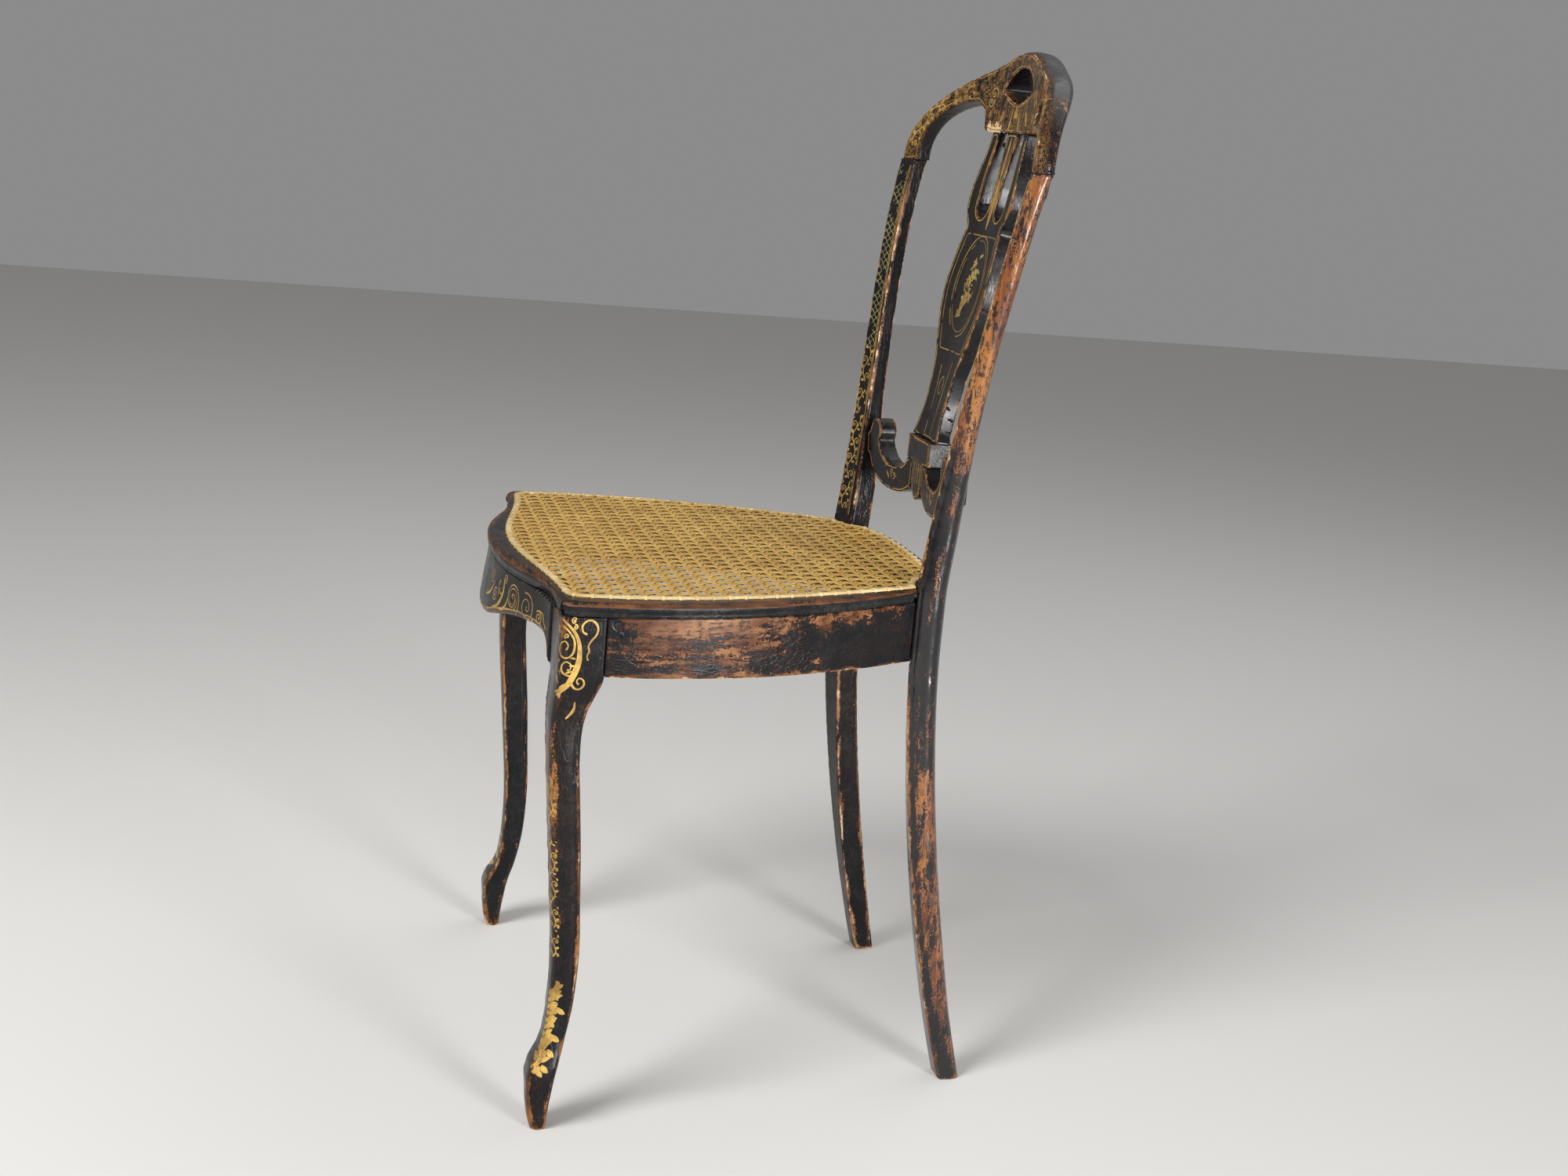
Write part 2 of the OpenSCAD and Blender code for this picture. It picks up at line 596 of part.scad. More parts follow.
module crest_rail() {
    n = len(crest_out) - 1;
    color(BLACK) difference() {
        union() {
            skin(concat([for (i = [0:n]) crest_ring(i)], [for (i = [n - 1:-1:0]) mirrored(crest_ring(i))]));
            difference() {
                translate([0, tab_y, tab_z]) rotate([-crest_lean, 0, 0]) intersection() {
                    bowed(crest_t - 4, -10, 60);
                    front_view(200) both_halves(tab_half);
                }
                below(tab_z);
            }
        }
        translate([0, tab_y, 0]) front_view(200) both_halves(heart_half);
        each_side() crest_dowel(joint_gap);
    }
}
module splat() {
    color(BLACK) difference() {
        translate([0, splat_foot_y, base_top]) rotate([-splat_lean, 0, 0]) intersection() {
            bowed(splat_t, -20, splat_len + 20);
            front_view(200) difference() {
                both_halves(splat_edge);
                polygon(drop_edge);
                mirror([1, 0]) polygon(drop_edge);
            }
        }
        above(tab_z);
        below(base_top);
    }
}
module board(t) { translate([0, t, 0]) rotate([90, 0, 0]) linear_extrude(t) children(); }
module cross_block() {
    leaf = [[0, 2], [7, 5], [leaf_w / 2 - 4, 11], [leaf_w / 2, 16], [leaf_w / 2, base_bottom - cross_z]];
    color(BLACK) difference() {
        union() {
            translate([-base_w / 2, base_y, base_bottom]) cube([base_w, base_d, base_h]);
            translate([0, base_y + 1, cross_z]) board(scroll_t) both_halves(leaf);
        }
        each_side() leaf_dowel(joint_gap);
    }
}
module cross_scroll() {
    color(BLACK) difference() {
        translate([scroll_x, base_y + 1, cross_z]) rotate([0, 0, -scroll_turn]) board(scroll_t) union() {
            polygon(scroll_edge);
            translate([scroll_reach - 10, 24]) square([24, 22]);
            translate([-6, 12]) square([7, base_bottom - cross_z - 12]);
        }
        translate([scroll_x - 40, base_y - 40, cross_z - 20]) cube([40, 100, 100]);
        rear_leg_body();
        scroll_dowel(joint_gap);
        leaf_dowel(joint_gap);
    }
}

/* ---- small pieces ---- */

module corner_block() {
    color(WOOD) translate([0, 0, rail_z + 6]) linear_extrude(rail_h - 8) difference() {
        polygon([[corner_x - 108, 10], [corner_x, 10], [corner_x, 92], [corner_x - 26, 92], [corner_x - 108, 26]]);
        polygon(concat([for (p = front_low) [p[0], front_y(p[0]) + rail_t]], [[block_x, -100], [0, -100]]));
        polygon(concat(shifted(side_edge, frame_lip + rail_t), [[big, seat_d], [big, 0]]));
        translate([block_x - block_w / 2, block_front]) square([block_w, block_d]);
    }
}

/* ---- the chair, set with its middle over the origin ---- */

front_most = -front_bulge + frame_lip - front_swell;
rear_most = max([for (i = [0:len(crest_out) - 1], p = crest_ring(i)) p[1]]);
module set() { translate([0, -(front_most + rear_most) / 2, 0]) children(); }

set() front_leg();  // front_leg_left
set() mirror([1, 0, 0]) front_leg();  // front_leg_right
set() rear_leg();  // rear_leg_left
set() mirror([1, 0, 0]) rear_leg();  // rear_leg_right
set() crest_rail();
set() splat();
set() cross_block();
set() cross_scroll();  // cross_scroll_left
set() mirror([1, 0, 0]) cross_scroll();  // cross_scroll_right
set() apron_front();
set() side_rail();  // apron_left
set() mirror([1, 0, 0]) side_rail();  // apron_right
set() apron_back();
set() frame_member(region_front);  // cane_frame_front
set() frame_member(region_side);  // cane_frame_left
set() mirror([1, 0, 0]) frame_member(region_side);  // cane_frame_right
set() frame_member(region_back);  // cane_frame_back
set() cane_panel();
set() cane_binder();
set() each_side() corner_block();  // corner_blocks
set() color(WOOD) each_side() { front_dowels(); rear_dowels(); }  // apron_dowels
set() color(WOOD) each_side() crest_dowel();  // crest_dowels
set() color(WOOD) each_side() { scroll_dowel(); leaf_dowel(); }  // scroll_dowels
set() color(WORN) each_side() intersection() {  // rail_plugs
    rail_plug();
    translate([0, 0, rail_z]) linear_extrude(rail_h) polygon(side_band);
}
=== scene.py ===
import json
import math
import random

import bpy
import numpy as np
from mathutils import Matrix, Vector
from mathutils import noise as clouds
from mathutils.bvhtree import BVHTree

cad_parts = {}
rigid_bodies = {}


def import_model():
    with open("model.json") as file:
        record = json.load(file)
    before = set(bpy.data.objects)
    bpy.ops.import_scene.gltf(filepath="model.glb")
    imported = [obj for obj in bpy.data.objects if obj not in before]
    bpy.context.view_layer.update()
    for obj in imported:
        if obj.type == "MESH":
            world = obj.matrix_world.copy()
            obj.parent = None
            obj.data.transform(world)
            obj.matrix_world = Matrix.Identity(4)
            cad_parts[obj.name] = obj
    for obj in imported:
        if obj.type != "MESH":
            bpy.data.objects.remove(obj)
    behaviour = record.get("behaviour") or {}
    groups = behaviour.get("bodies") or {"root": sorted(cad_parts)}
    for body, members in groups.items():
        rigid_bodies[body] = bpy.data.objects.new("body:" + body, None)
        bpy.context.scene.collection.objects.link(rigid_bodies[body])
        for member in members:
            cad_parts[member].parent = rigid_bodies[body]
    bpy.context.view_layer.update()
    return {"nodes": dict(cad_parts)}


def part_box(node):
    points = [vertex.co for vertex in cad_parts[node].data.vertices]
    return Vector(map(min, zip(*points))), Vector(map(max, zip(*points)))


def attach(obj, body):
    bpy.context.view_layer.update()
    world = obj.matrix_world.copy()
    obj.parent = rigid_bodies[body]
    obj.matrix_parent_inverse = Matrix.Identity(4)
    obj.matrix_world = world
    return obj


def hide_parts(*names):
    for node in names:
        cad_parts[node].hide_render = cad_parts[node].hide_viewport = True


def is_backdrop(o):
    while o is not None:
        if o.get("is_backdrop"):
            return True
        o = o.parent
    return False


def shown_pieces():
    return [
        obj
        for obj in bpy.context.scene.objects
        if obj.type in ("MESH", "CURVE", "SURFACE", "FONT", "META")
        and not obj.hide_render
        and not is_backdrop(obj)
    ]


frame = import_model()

mm = 0.001
dice = random.Random(7)
bpy.ops.object.select_all(action="DESELECT")
print("stage: frame loaded")


cameraSettings = {
    "place": (1.694, -0.400, 0.817), "azimuth": 75.6, "elevation": 13.0, "roll": 5.2,  # metres and degrees
    "lens": 45.34, "sensor": 36,
}


def makeCamera(s):
    az, el, roll = (math.radians(s[k]) for k in ("azimuth", "elevation", "roll"))
    back = Vector((math.sin(az) * math.cos(el), -math.cos(az) * math.cos(el), math.sin(el)))
    right = (-back).cross(Vector((0, 0, 1))).normalized()
    up = right.cross(-back)
    turnedRight = right * math.cos(roll) + up * math.sin(roll)
    turnedUp = up * math.cos(roll) - right * math.sin(roll)
    bpy.ops.object.camera_add()
    camera = bpy.context.object
    turn = Matrix((turnedRight, turnedUp, back)).transposed().to_4x4()
    camera.matrix_world = Matrix.Translation(s["place"]) @ turn
    camera.data.sensor_width = s["sensor"]
    camera.data.lens = s["lens"]
    camera.data.clip_start = 0.05
    bpy.context.scene.camera = camera


lampSettings = [
    {"name": "keyLamp", "place": (1.2, -2.0, 2.2), "size": 1.2, "power": 78},
    {"name": "sideLamp", "place": (2.5, 1.1, 1.0), "size": 0.8, "power": 36},
    {"name": "backLamp", "place": (-0.9, 1.5, 2.6), "size": 2.4, "power": 15},
    {"name": "lowLamp", "place": (2.25, 1.12, 0.3), "size": 0.9, "power": 3.2, "spread": 40},
]
studioSettings = {"aim": (0, 0, 0.45), "world": 0.26, "colour": (1, 1, 1, 1)}
floorSettings = {"size": 14, "colour": (0.72, 0.71, 0.69, 1), "rough": 0.9}


def makeLight(lamps, s):
    for one in lamps:
        bpy.ops.object.light_add(type="AREA", location=one["place"])
        lamp = bpy.context.object
        lamp.name = one["name"]
        lamp.data.shape = "DISK"
        lamp.data.size = one["size"]
        lamp.data.energy = one["power"]
        lamp.data.spread = math.radians(one.get("spread", 180))
        aim = Vector(s["aim"]) - Vector(one["place"])
        lamp.rotation_euler = aim.to_track_quat("-Z", "Y").to_euler()
    world = bpy.data.worlds.new("studio")
    bpy.context.scene.world = world
    world.use_nodes = True
    background = world.node_tree.nodes["Background"]
    background.inputs["Color"].default_value = s["colour"]
    background.inputs["Strength"].default_value = s["world"]


def newMaterial(name):
    material = bpy.data.materials.new(name)
    material.use_nodes = True
    return material, material.node_tree, material.node_tree.nodes["Principled BSDF"]


def makeFloor(s):
    bpy.ops.mesh.primitive_plane_add(size=s["size"], location=(0, 0, 0))
    floor = bpy.context.object
    floor.name = "floor"
    material, _, shader = newMaterial("paleFloor")
    shader.inputs["Base Color"].default_value = s["colour"]
    shader.inputs["Roughness"].default_value = s["rough"]
    floor.data.materials.append(material)
    floor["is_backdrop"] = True
    floor.select_set(False)


bpy.context.scene.view_settings.view_transform = "Standard"
makeCamera(cameraSettings)
makeLight(lampSettings, studioSettings)
makeFloor(floorSettings)
print("stage: camera, light and floor")


def node(tree, kind, x=0, y=0, **values):
    made = tree.nodes.new(kind)
    made.location = (x, y)
    for key, value in values.items():
        setattr(made, key, value)
    return made


def feed(tree, source, target):
    # the source is a socket or a plain value
    if isinstance(source, bpy.types.NodeSocket):
        tree.links.new(source, target)
    elif source is not None:
        target.default_value = source


def maths(tree, operation, a, b=None, c=None, clamp=False):
    made = node(tree, "ShaderNodeMath", operation=operation, use_clamp=clamp)
    for i, value in enumerate((a, b, c)):
        feed(tree, value, made.inputs[i])
    return made.outputs[0]


def stepUp(tree, value, low, high, outLow=0.0, outHigh=1.0):
    made = node(tree, "ShaderNodeMapRange", interpolation_type="SMOOTHSTEP")
    for i, v in enumerate((value, low, high, outLow, outHigh)):
        feed(tree, v, made.inputs[i])
    return made.outputs[0]


def blendColour(tree, share, a, b, kind="MIX"):
    made = node(tree, "ShaderNodeMix", data_type="RGBA", blend_type=kind)
    feed(tree, share, made.inputs[0])
    feed(tree, a, made.inputs[6])
    feed(tree, b, made.inputs[7])
    return made.outputs[2]


def stretched(tree, vector, scale):
    made = node(tree, "ShaderNodeMapping")
    feed(tree, vector, made.inputs["Vector"])
    made.inputs["Scale"].default_value = scale
    return made.outputs["Vector"]


def noise(tree, vector, scale, detail=4.0, rough=0.55, warp=0.0):
    made = node(tree, "ShaderNodeTexNoise")
    feed(tree, vector, made.inputs["Vector"])
    made.inputs["Scale"].default_value = scale
    made.inputs["Detail"].default_value = detail
    made.inputs["Roughness"].default_value = rough
    made.inputs["Distortion"].default_value = warp
    return made.outputs["Fac"]


def placeOn(tree):
    return node(tree, "ShaderNodeTexCoord").outputs["Object"]


def emboss(tree, shader, height, depth, strength=1.0):
    bumped = node(tree, "ShaderNodeBump")
    bumped.inputs["Strength"].default_value = strength
    bumped.inputs["Distance"].default_value = depth
    feed(tree, height, bumped.inputs["Height"])
    feed(tree, bumped.outputs["Normal"], shader.inputs["Normal"])


def openGroup(name, inputs, outputs):
    # a node group with its sockets; gives the group, its input sockets and its output sockets
    group = bpy.data.node_groups.new(name, "ShaderNodeTree")
    for title, kind, value in inputs:
        socket = group.interface.new_socket(name=title, in_out="INPUT", socket_type=kind)
        if value is not None:
            socket.default_value = value
    for title, kind in outputs:
        group.interface.new_socket(name=title, in_out="OUTPUT", socket_type=kind)
    start, end = node(group, "NodeGroupInput", -900), node(group, "NodeGroupOutput", 700)
    return group, start.outputs, end.inputs


floatSocket = "NodeSocketFloat"
vectorSocket = "NodeSocketVector"
colourSocket = "NodeSocketColor"


lossSettings = {
    "edge": 0.62, "bare": 0.6, "gone": (0.47, 0.53), "rim": (0.38, 0.47),
    "clouds": (
        {"along": "Vector", "scale": 34, "detail": 3, "rough": 0.6, "warp": 0.0, "share": 0.8},
        {"along": "Grain", "scale": 130, "detail": 5, "rough": 0.68, "warp": 0.4, "share": 1.6},
        {"along": "Vector", "scale": 520, "detail": 3, "rough": 0.6, "warp": 0.0, "share": 0.7},
    ),
}


def makePaintLoss(s):
    # where the paint has gone: worn edges, bared stretches and scattered chips
    group, start, end = openGroup(
        "paintLoss",
        [("Vector", vectorSocket, None), ("Grain", vectorSocket, None), ("Edge", floatSocket, 0.0),
         ("Bare", floatSocket, 0.0), ("Amount", floatSocket, 0.0)],
        [("Mask", floatSocket), ("Rim", floatSocket)])
    level = maths(group, "MULTIPLY_ADD", start["Edge"], s["edge"], start["Amount"])
    level = maths(group, "MULTIPLY_ADD", start["Bare"], s["bare"], level)
    for c in s["clouds"]:
        cloud = noise(group, start[c["along"]], c["scale"], c["detail"], c["rough"], c["warp"])
        level = maths(group, "MULTIPLY_ADD", maths(group, "SUBTRACT", cloud, 0.5), c["share"], level)
    feed(group, stepUp(group, level, *s["gone"]), end["Mask"])
    feed(group, stepUp(group, level, *s["rim"]), end["Rim"])
    return group


woodSettings = {"tone": 60, "fleck": 420, "spot": 120, "fleckColour": (0.022, 0.011, 0.007, 1)}


def makeBareWood(s):
    # old stained wood with dark flecks along the grain
    group, start, end = openGroup(
        "bareWood",
        [("Vector", vectorSocket, None), ("Grain", vectorSocket, None), ("Light", colourSocket, None),
         ("Dark", colourSocket, None), ("Flecks", floatSocket, 0.5)],
        [("Color", colourSocket), ("Height", floatSocket)])
    tone = noise(group, start["Grain"], s["tone"], 5, 0.65, 0.6)
    fleck = noise(group, start["Grain"], s["fleck"], 5, 0.75, 0.8)
    spot = noise(group, start["Vector"], s["spot"], 4, 0.7)
    base = blendColour(group, stepUp(group, tone, 0.36, 0.66), start["Dark"], start["Light"])
    flecked = maths(group, "ADD", maths(group, "MULTIPLY", fleck, 0.6), maths(group, "MULTIPLY", spot, 0.4))
    mask = maths(group, "MULTIPLY", stepUp(group, flecked, 0.49, 0.56), start["Flecks"])
    feed(group, blendColour(group, mask, base, s["fleckColour"]), end["Color"])
    feed(group, maths(group, "MULTIPLY_ADD", fleck, -0.6, tone), end["Height"])
    return group


crazingSettings = {"wobble": 0.006, "wobbleScale": 90, "patchScale": 18, "width": 0.07}


def makeCrazing(s):
    # fine cracks in old paint, longer along the grain
    group, start, end = openGroup(
        "crazing", [("Grain", vectorSocket, None), ("Scale", floatSocket, 180.0)],
        [("Crack", floatSocket), ("Height", floatSocket)])
    cells = node(group, "ShaderNodeTexVoronoi", feature="DISTANCE_TO_EDGE")
    wobble = noise(group, start["Grain"], s["wobbleScale"], 3, 0.6)
    shaken = node(group, "ShaderNodeVectorMath", operation="ADD")
    feed(group, start["Grain"], shaken.inputs[0])
    feed(group, maths(group, "MULTIPLY", wobble, s["wobble"]), shaken.inputs[1])
    feed(group, shaken.outputs[0], cells.inputs["Vector"])
    feed(group, start["Scale"], cells.inputs["Scale"])
    patch = stepUp(group, noise(group, start["Grain"], s["patchScale"], 2), 0.42, 0.62)
    crack = maths(group, "SUBTRACT", 1.0, stepUp(group, cells.outputs["Distance"], 0.0, s["width"]))
    crack = maths(group, "MULTIPLY", crack, patch)
    feed(group, crack, end["Crack"])
    feed(group, maths(group, "MULTIPLY", crack, -1.0), end["Height"])
    return group


grimeSettings = {"cloud": 22, "scuff": 240, "hollow": 0.5, "range": (0.2, 0.62)}


def makeGrime(s):
    # pale dust in hollows and grey scuffs
    group, start, end = openGroup(
        "grime", [("Vector", vectorSocket, None), ("Hollow", floatSocket, 0.0), ("Amount", floatSocket, 0.2)],
        [("Mask", floatSocket)])
    cloud = noise(group, start["Vector"], s["cloud"], 6, 0.7)
    scuff = noise(group, start["Vector"], s["scuff"], 4, 0.75, 1.0)
    scuffed = maths(group, "MULTIPLY", cloud, scuff)
    level = stepUp(group, maths(group, "MULTIPLY_ADD", start["Hollow"], s["hollow"], scuffed), *s["range"])
    feed(group, maths(group, "MULTIPLY", level, start["Amount"]), end["Mask"])
    return group


paintLoss, bareWood = makePaintLoss(lossSettings), makeBareWood(woodSettings)
crazing, grime = makeCrazing(crazingSettings), makeGrime(grimeSettings)


def useGroup(tree, group, **inputs):
    made = node(tree, "ShaderNodeGroup", node_tree=group)
    for key, value in inputs.items():
        feed(tree, value, made.inputs[key])
    return made.outputs


def attribute(tree, name):
    return node(tree, "ShaderNodeAttribute", attribute_name=name).outputs["Fac"]


grainAlong = {"x": (0.16, 1, 1), "y": (1, 0.16, 1), "z": (1, 1, 0.16)}
paintSettings = {
    "grain": "z", "black": (0.004, 0.0048, 0.0065), "faded": (0.016, 0.012, 0.01),
    "light": (0.33, 0.13, 0.036), "dark": (0.09, 0.028, 0.009), "raw": (0.46, 0.3, 0.15), "ground": None,
    "dustColour": (0.2, 0.19, 0.175), "dust": 0.12, "amount": 0.0, "flecks": 0.85, "craze": 420.0,
    "cracks": 0.3, "rim": 0.55, "gloss": 0.14, "specular": 0.2, "relief": 0.55, "depth": 0.35 * mm,
}


def gildGround(tree, place, paint, gilt):
    # a rubbed gilt ground with dark swirls in it
    swirl = noise(tree, place, 120, 2, 0.5, 2.4)
    band = maths(tree, "PINGPONG", maths(tree, "MULTIPLY", swirl, 9.0), 1.0)
    rubbed = stepUp(tree, noise(tree, place, 110, 5, 0.7), 0.36, 0.56)
    shown = maths(tree, "MULTIPLY", stepUp(tree, band, 0.25, 0.6), rubbed)
    shown = maths(tree, "MULTIPLY", shown, attribute(tree, "ground"))
    return blendColour(tree, shown, paint, gilt)


def makePaint(name, **changes):
    s = {**paintSettings, **changes}
    material, tree, shader = newMaterial(name)
    place = placeOn(tree)
    grain = stretched(tree, place, grainAlong[s["grain"]])
    light, dark, raw, black, faded, dusty = ((*s[k], 1) for k in (
        "light", "dark", "raw", "black", "faded", "dustColour"))
    edge, hollow, bare = (attribute(tree, n) for n in ("edge", "hollow", "bare"))
    lost = useGroup(tree, paintLoss, Vector=place, Grain=grain, Edge=edge, Bare=bare, Amount=s["amount"])
    wood = useGroup(tree, bareWood, Vector=place, Grain=grain, Light=light, Dark=dark, Flecks=s["flecks"])
    cracks = useGroup(tree, crazing, Grain=grain, Scale=s["craze"])
    dust = useGroup(tree, grime, Vector=place, Hollow=hollow, Amount=s["dust"])
    tint = stepUp(tree, noise(tree, place, 46, 5, 0.65), 0.35, 0.7)
    paint = blendColour(tree, maths(tree, "MULTIPLY", tint, 0.4), black, faded)
    if s["ground"]:
        paint = gildGround(tree, place, paint, (*s["ground"], 1))
    paint = blendColour(tree, maths(tree, "MULTIPLY", cracks["Crack"], s["cracks"]), paint, dark)
    paint = blendColour(tree, dust["Mask"], paint, dusty)
    paint = blendColour(tree, maths(tree, "MULTIPLY", lost["Rim"], s["rim"]), paint, dark)
    colour = blendColour(tree, lost["Mask"], paint, wood["Color"])
    # raw wood shows on the sharpest edges and where bare is over 1
    pale = stepUp(tree, maths(tree, "MULTIPLY", edge, noise(tree, place, 70, 4, 0.7)), 0.46, 0.6)
    pale = maths(tree, "MAXIMUM", pale, stepUp(tree, bare, 1.1, 1.3))
    colour = blendColour(tree, maths(tree, "MULTIPLY", pale, lost["Mask"]), colour, raw)
    feed(tree, colour, shader.inputs["Base Color"])
    rough = stepUp(tree, noise(tree, place, 60, 5, 0.7), 0.3, 0.75, s["gloss"], s["gloss"] + 0.22)
    rough = maths(tree, "MULTIPLY_ADD", lost["Mask"], 0.1, rough)
    rough = maths(tree, "MULTIPLY_ADD", dust["Mask"], 0.4, rough, clamp=True)
    feed(tree, rough, shader.inputs["Roughness"])
    shader.inputs["Specular IOR Level"].default_value = s["specular"]
    height = maths(tree, "MULTIPLY_ADD", lost["Mask"], -1.0, maths(tree, "MULTIPLY", cracks["Height"], 0.5))
    height = maths(tree, "MULTIPLY_ADD", noise(tree, grain, 200, 4, 0.6), 0.35, height)
    height = maths(tree, "MULTIPLY_ADD", wood["Height"], maths(tree, "MULTIPLY", lost["Mask"], 0.5), height)
    emboss(tree, shader, height, s["depth"], s["relief"])
    return material


blackZ = makePaint("blackPaintUpright", grain="z")
blackX = makePaint("blackPaintAcross", grain="x", dust=0.15)
blackY = makePaint("blackPaintAlong", grain="y", amount=0.06, light=(0.26, 0.115, 0.045))
crestPaint = makePaint("crestPaint", ground=(0.2, 0.1, 0.03), dust=0.06, amount=-0.04, flecks=1.0,
                       raw=(0.66, 0.48, 0.28))
stilePaint = makePaint("stilePaint", light=(0.29, 0.115, 0.028), dark=(0.12, 0.03, 0.01), flecks=1.0,
                       specular=0.6, gloss=0.03, dust=0.04)
farPaint = makePaint("farStilePaint", raw=(0.72, 0.48, 0.3), light=(0.46, 0.24, 0.12))
frameWear = {
    "light": (0.17, 0.066, 0.026), "dark": (0.06, 0.025, 0.012), "raw": (0.34, 0.2, 0.1), "amount": 0.28,
    "flecks": 0.35, "gloss": 0.2, "dust": 0.3,
}
framePaint = makePaint("wornFramePaint", grain="y", **frameWear)
framePaintX = makePaint("wornFramePaintAcross", grain="x", **frameWear)
print("stage: paint materials")


def meshArrays(piece):
    # a mesh's points, normals and edges
    mesh = piece.data
    points, normals = (np.empty(len(mesh.vertices) * 3, np.float32) for _ in range(2))
    mesh.vertices.foreach_get("co", points)
    mesh.vertices.foreach_get("normal", normals)
    edges = np.empty(len(mesh.edges) * 2, np.int32)
    mesh.edges.foreach_get("vertices", edges)
    return points.reshape(-1, 3).astype(float), normals.reshape(-1, 3).astype(float), edges.reshape(-1, 2)


def relaxed(points, edges, rounds):
    # each point goes half way to the middle of its neighbours, round after round
    count = np.bincount(edges.ravel(), minlength=len(points))[:, None]
    for _ in range(rounds):
        total = np.zeros_like(points)
        for axis in range(3):
            total[:, axis] = (np.bincount(edges[:, 0], points[edges[:, 1], axis], len(points))
                              + np.bincount(edges[:, 1], points[edges[:, 0], axis], len(points)))
        points = 0.5 * points + 0.5 * total / np.maximum(count, 1)
    return points


def writeAttribute(piece, name, values):
    layer = piece.data.attributes.new(name, "FLOAT", "POINT")
    layer.data.foreach_set("value", np.asarray(values, np.float32))


def applyModifier(piece, kind, **values):
    modifier = piece.modifiers.new(kind.lower(), kind)
    for key, value in values.items():
        setattr(modifier, key, value)
    bpy.context.view_layer.objects.active = piece
    bpy.ops.object.modifier_apply(modifier=modifier.name)


def chosen(piece):
    bpy.ops.object.select_all(action="DESELECT")
    piece.select_set(True)
    bpy.context.view_layer.objects.active = piece


def wornCopy(name, nodeName, s):
    # a rounded copy of a CAD piece
    piece = bpy.data.objects.new(name, frame["nodes"][nodeName].data.copy())
    bpy.context.scene.collection.objects.link(piece)
    piece.data.materials.clear()
    chosen(piece)
    bpy.ops.object.mode_set(mode="EDIT")
    bpy.ops.mesh.select_all(action="SELECT")
    bpy.ops.mesh.remove_doubles(threshold=0.00001)
    bpy.ops.object.mode_set(mode="OBJECT")
    piece.data.remesh_voxel_size = s["voxel"]
    bpy.ops.object.voxel_remesh()
    applyModifier(piece, "SMOOTH", factor=0.5, iterations=s["rounds"])
    bpy.ops.object.shade_smooth()
    return piece


def treeOf(meshes):
    points, faces = [], []
    for mesh in meshes:
        base = len(points)
        points += [v.co.copy() for v in mesh.vertices]
        faces += [[base + i for i in p.vertices] for p in mesh.polygons]
    return BVHTree.FromPolygons(points, faces)


def movePoints(piece, points):
    piece.data.vertices.foreach_set("co", points.astype(np.float32).ravel())
    piece.data.update()


finishSettings = {"reach": 8 * mm, "held": 0.65, "pull": 6, "rounds": 14, "relief": 0.75 * mm}


def finishWood(piece, nodeName, material, bare=None, ground=None, sculpt=None, s=finishSettings):
    points, normals, edges = meshArrays(piece)
    if sculpt is not None:
        points = sculpt(points, normals, edges)
    # keep joints tight: near a neighbour the surface goes back to its true place, and its edge isn't worn
    others = treeOf([made.data for name, made in frame["nodes"].items() if name != nodeName])
    own = treeOf([frame["nodes"][nodeName].data])
    joint = np.zeros(len(points))
    low, high = (np.array(c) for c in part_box(nodeName))
    for i in range(len(points)):
        gap = others.find_nearest(points[i], s["reach"])[3]
        if gap is not None:
            joint[i] = 1 - gap / s["reach"]
        if joint[i] > s["held"]:
            home = own.find_nearest(points[i])[0]
            points[i] += (np.array(home) - points[i]) * min(1, (joint[i] - s["held"]) * s["pull"])
    movePoints(piece, np.clip(points, low, high))
    points, normals, edges = meshArrays(piece)
    raised = ((points - relaxed(points, edges, s["rounds"])) * normals).sum(1) / s["relief"]
    raised *= np.clip(1.3 - 1.6 * joint, 0, 1)
    writeAttribute(piece, "edge", np.clip(raised, 0, 1))
    writeAttribute(piece, "hollow", np.clip(-raised, 0, 1))
    writeAttribute(piece, "bare", np.zeros(len(points)) if bare is None else bare(points, normals))
    if ground is not None:
        writeAttribute(piece, "ground", ground(points, normals))
    piece.data.materials.append(material)
    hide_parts(nodeName)
    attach(piece, "root")
    piece.select_set(False)


def bump(value, low, high, soft):
    # 1 between low and high, fading over soft
    up = np.clip((value - low) / soft + 0.5, 0, 1)
    down = np.clip((high - value) / soft + 0.5, 0, 1)
    return up * down


def softened(points, edges, s, share):
    # rounds the surface off further where share is 1, moving it by the limit at most
    moved = relaxed(points, edges, s["soften"]) - points
    length = np.maximum(np.linalg.norm(moved, axis=1), 1e-9)
    moved *= (np.minimum(length, s["limit"]) / length)[:, None]
    return points + moved * share[:, None]


legSettings = {
    "voxel": 1.7 * mm, "rounds": 4, "soften": 90, "limit": 4.5 * mm,
    "round": (0.11, 0.375, 0.04),  # from the ankle to the block: low, high and fade
    "foot": (-0.02, 0.03, 0.03), "knee": (0.255, 0.345, 0.05), "top": (0.428, 0.45, 0.012),
}
rearSettings = {
    "voxel": 1.8 * mm, "rounds": 4, "soften": 90, "limit": 2.5 * mm, "crown": 4 * mm,
    "lower": (0.06, 0.34, 0.1), "rubbed": (0.575, 0.83, 0.09), "faint": (0.64, 0.8, 0.1),
}


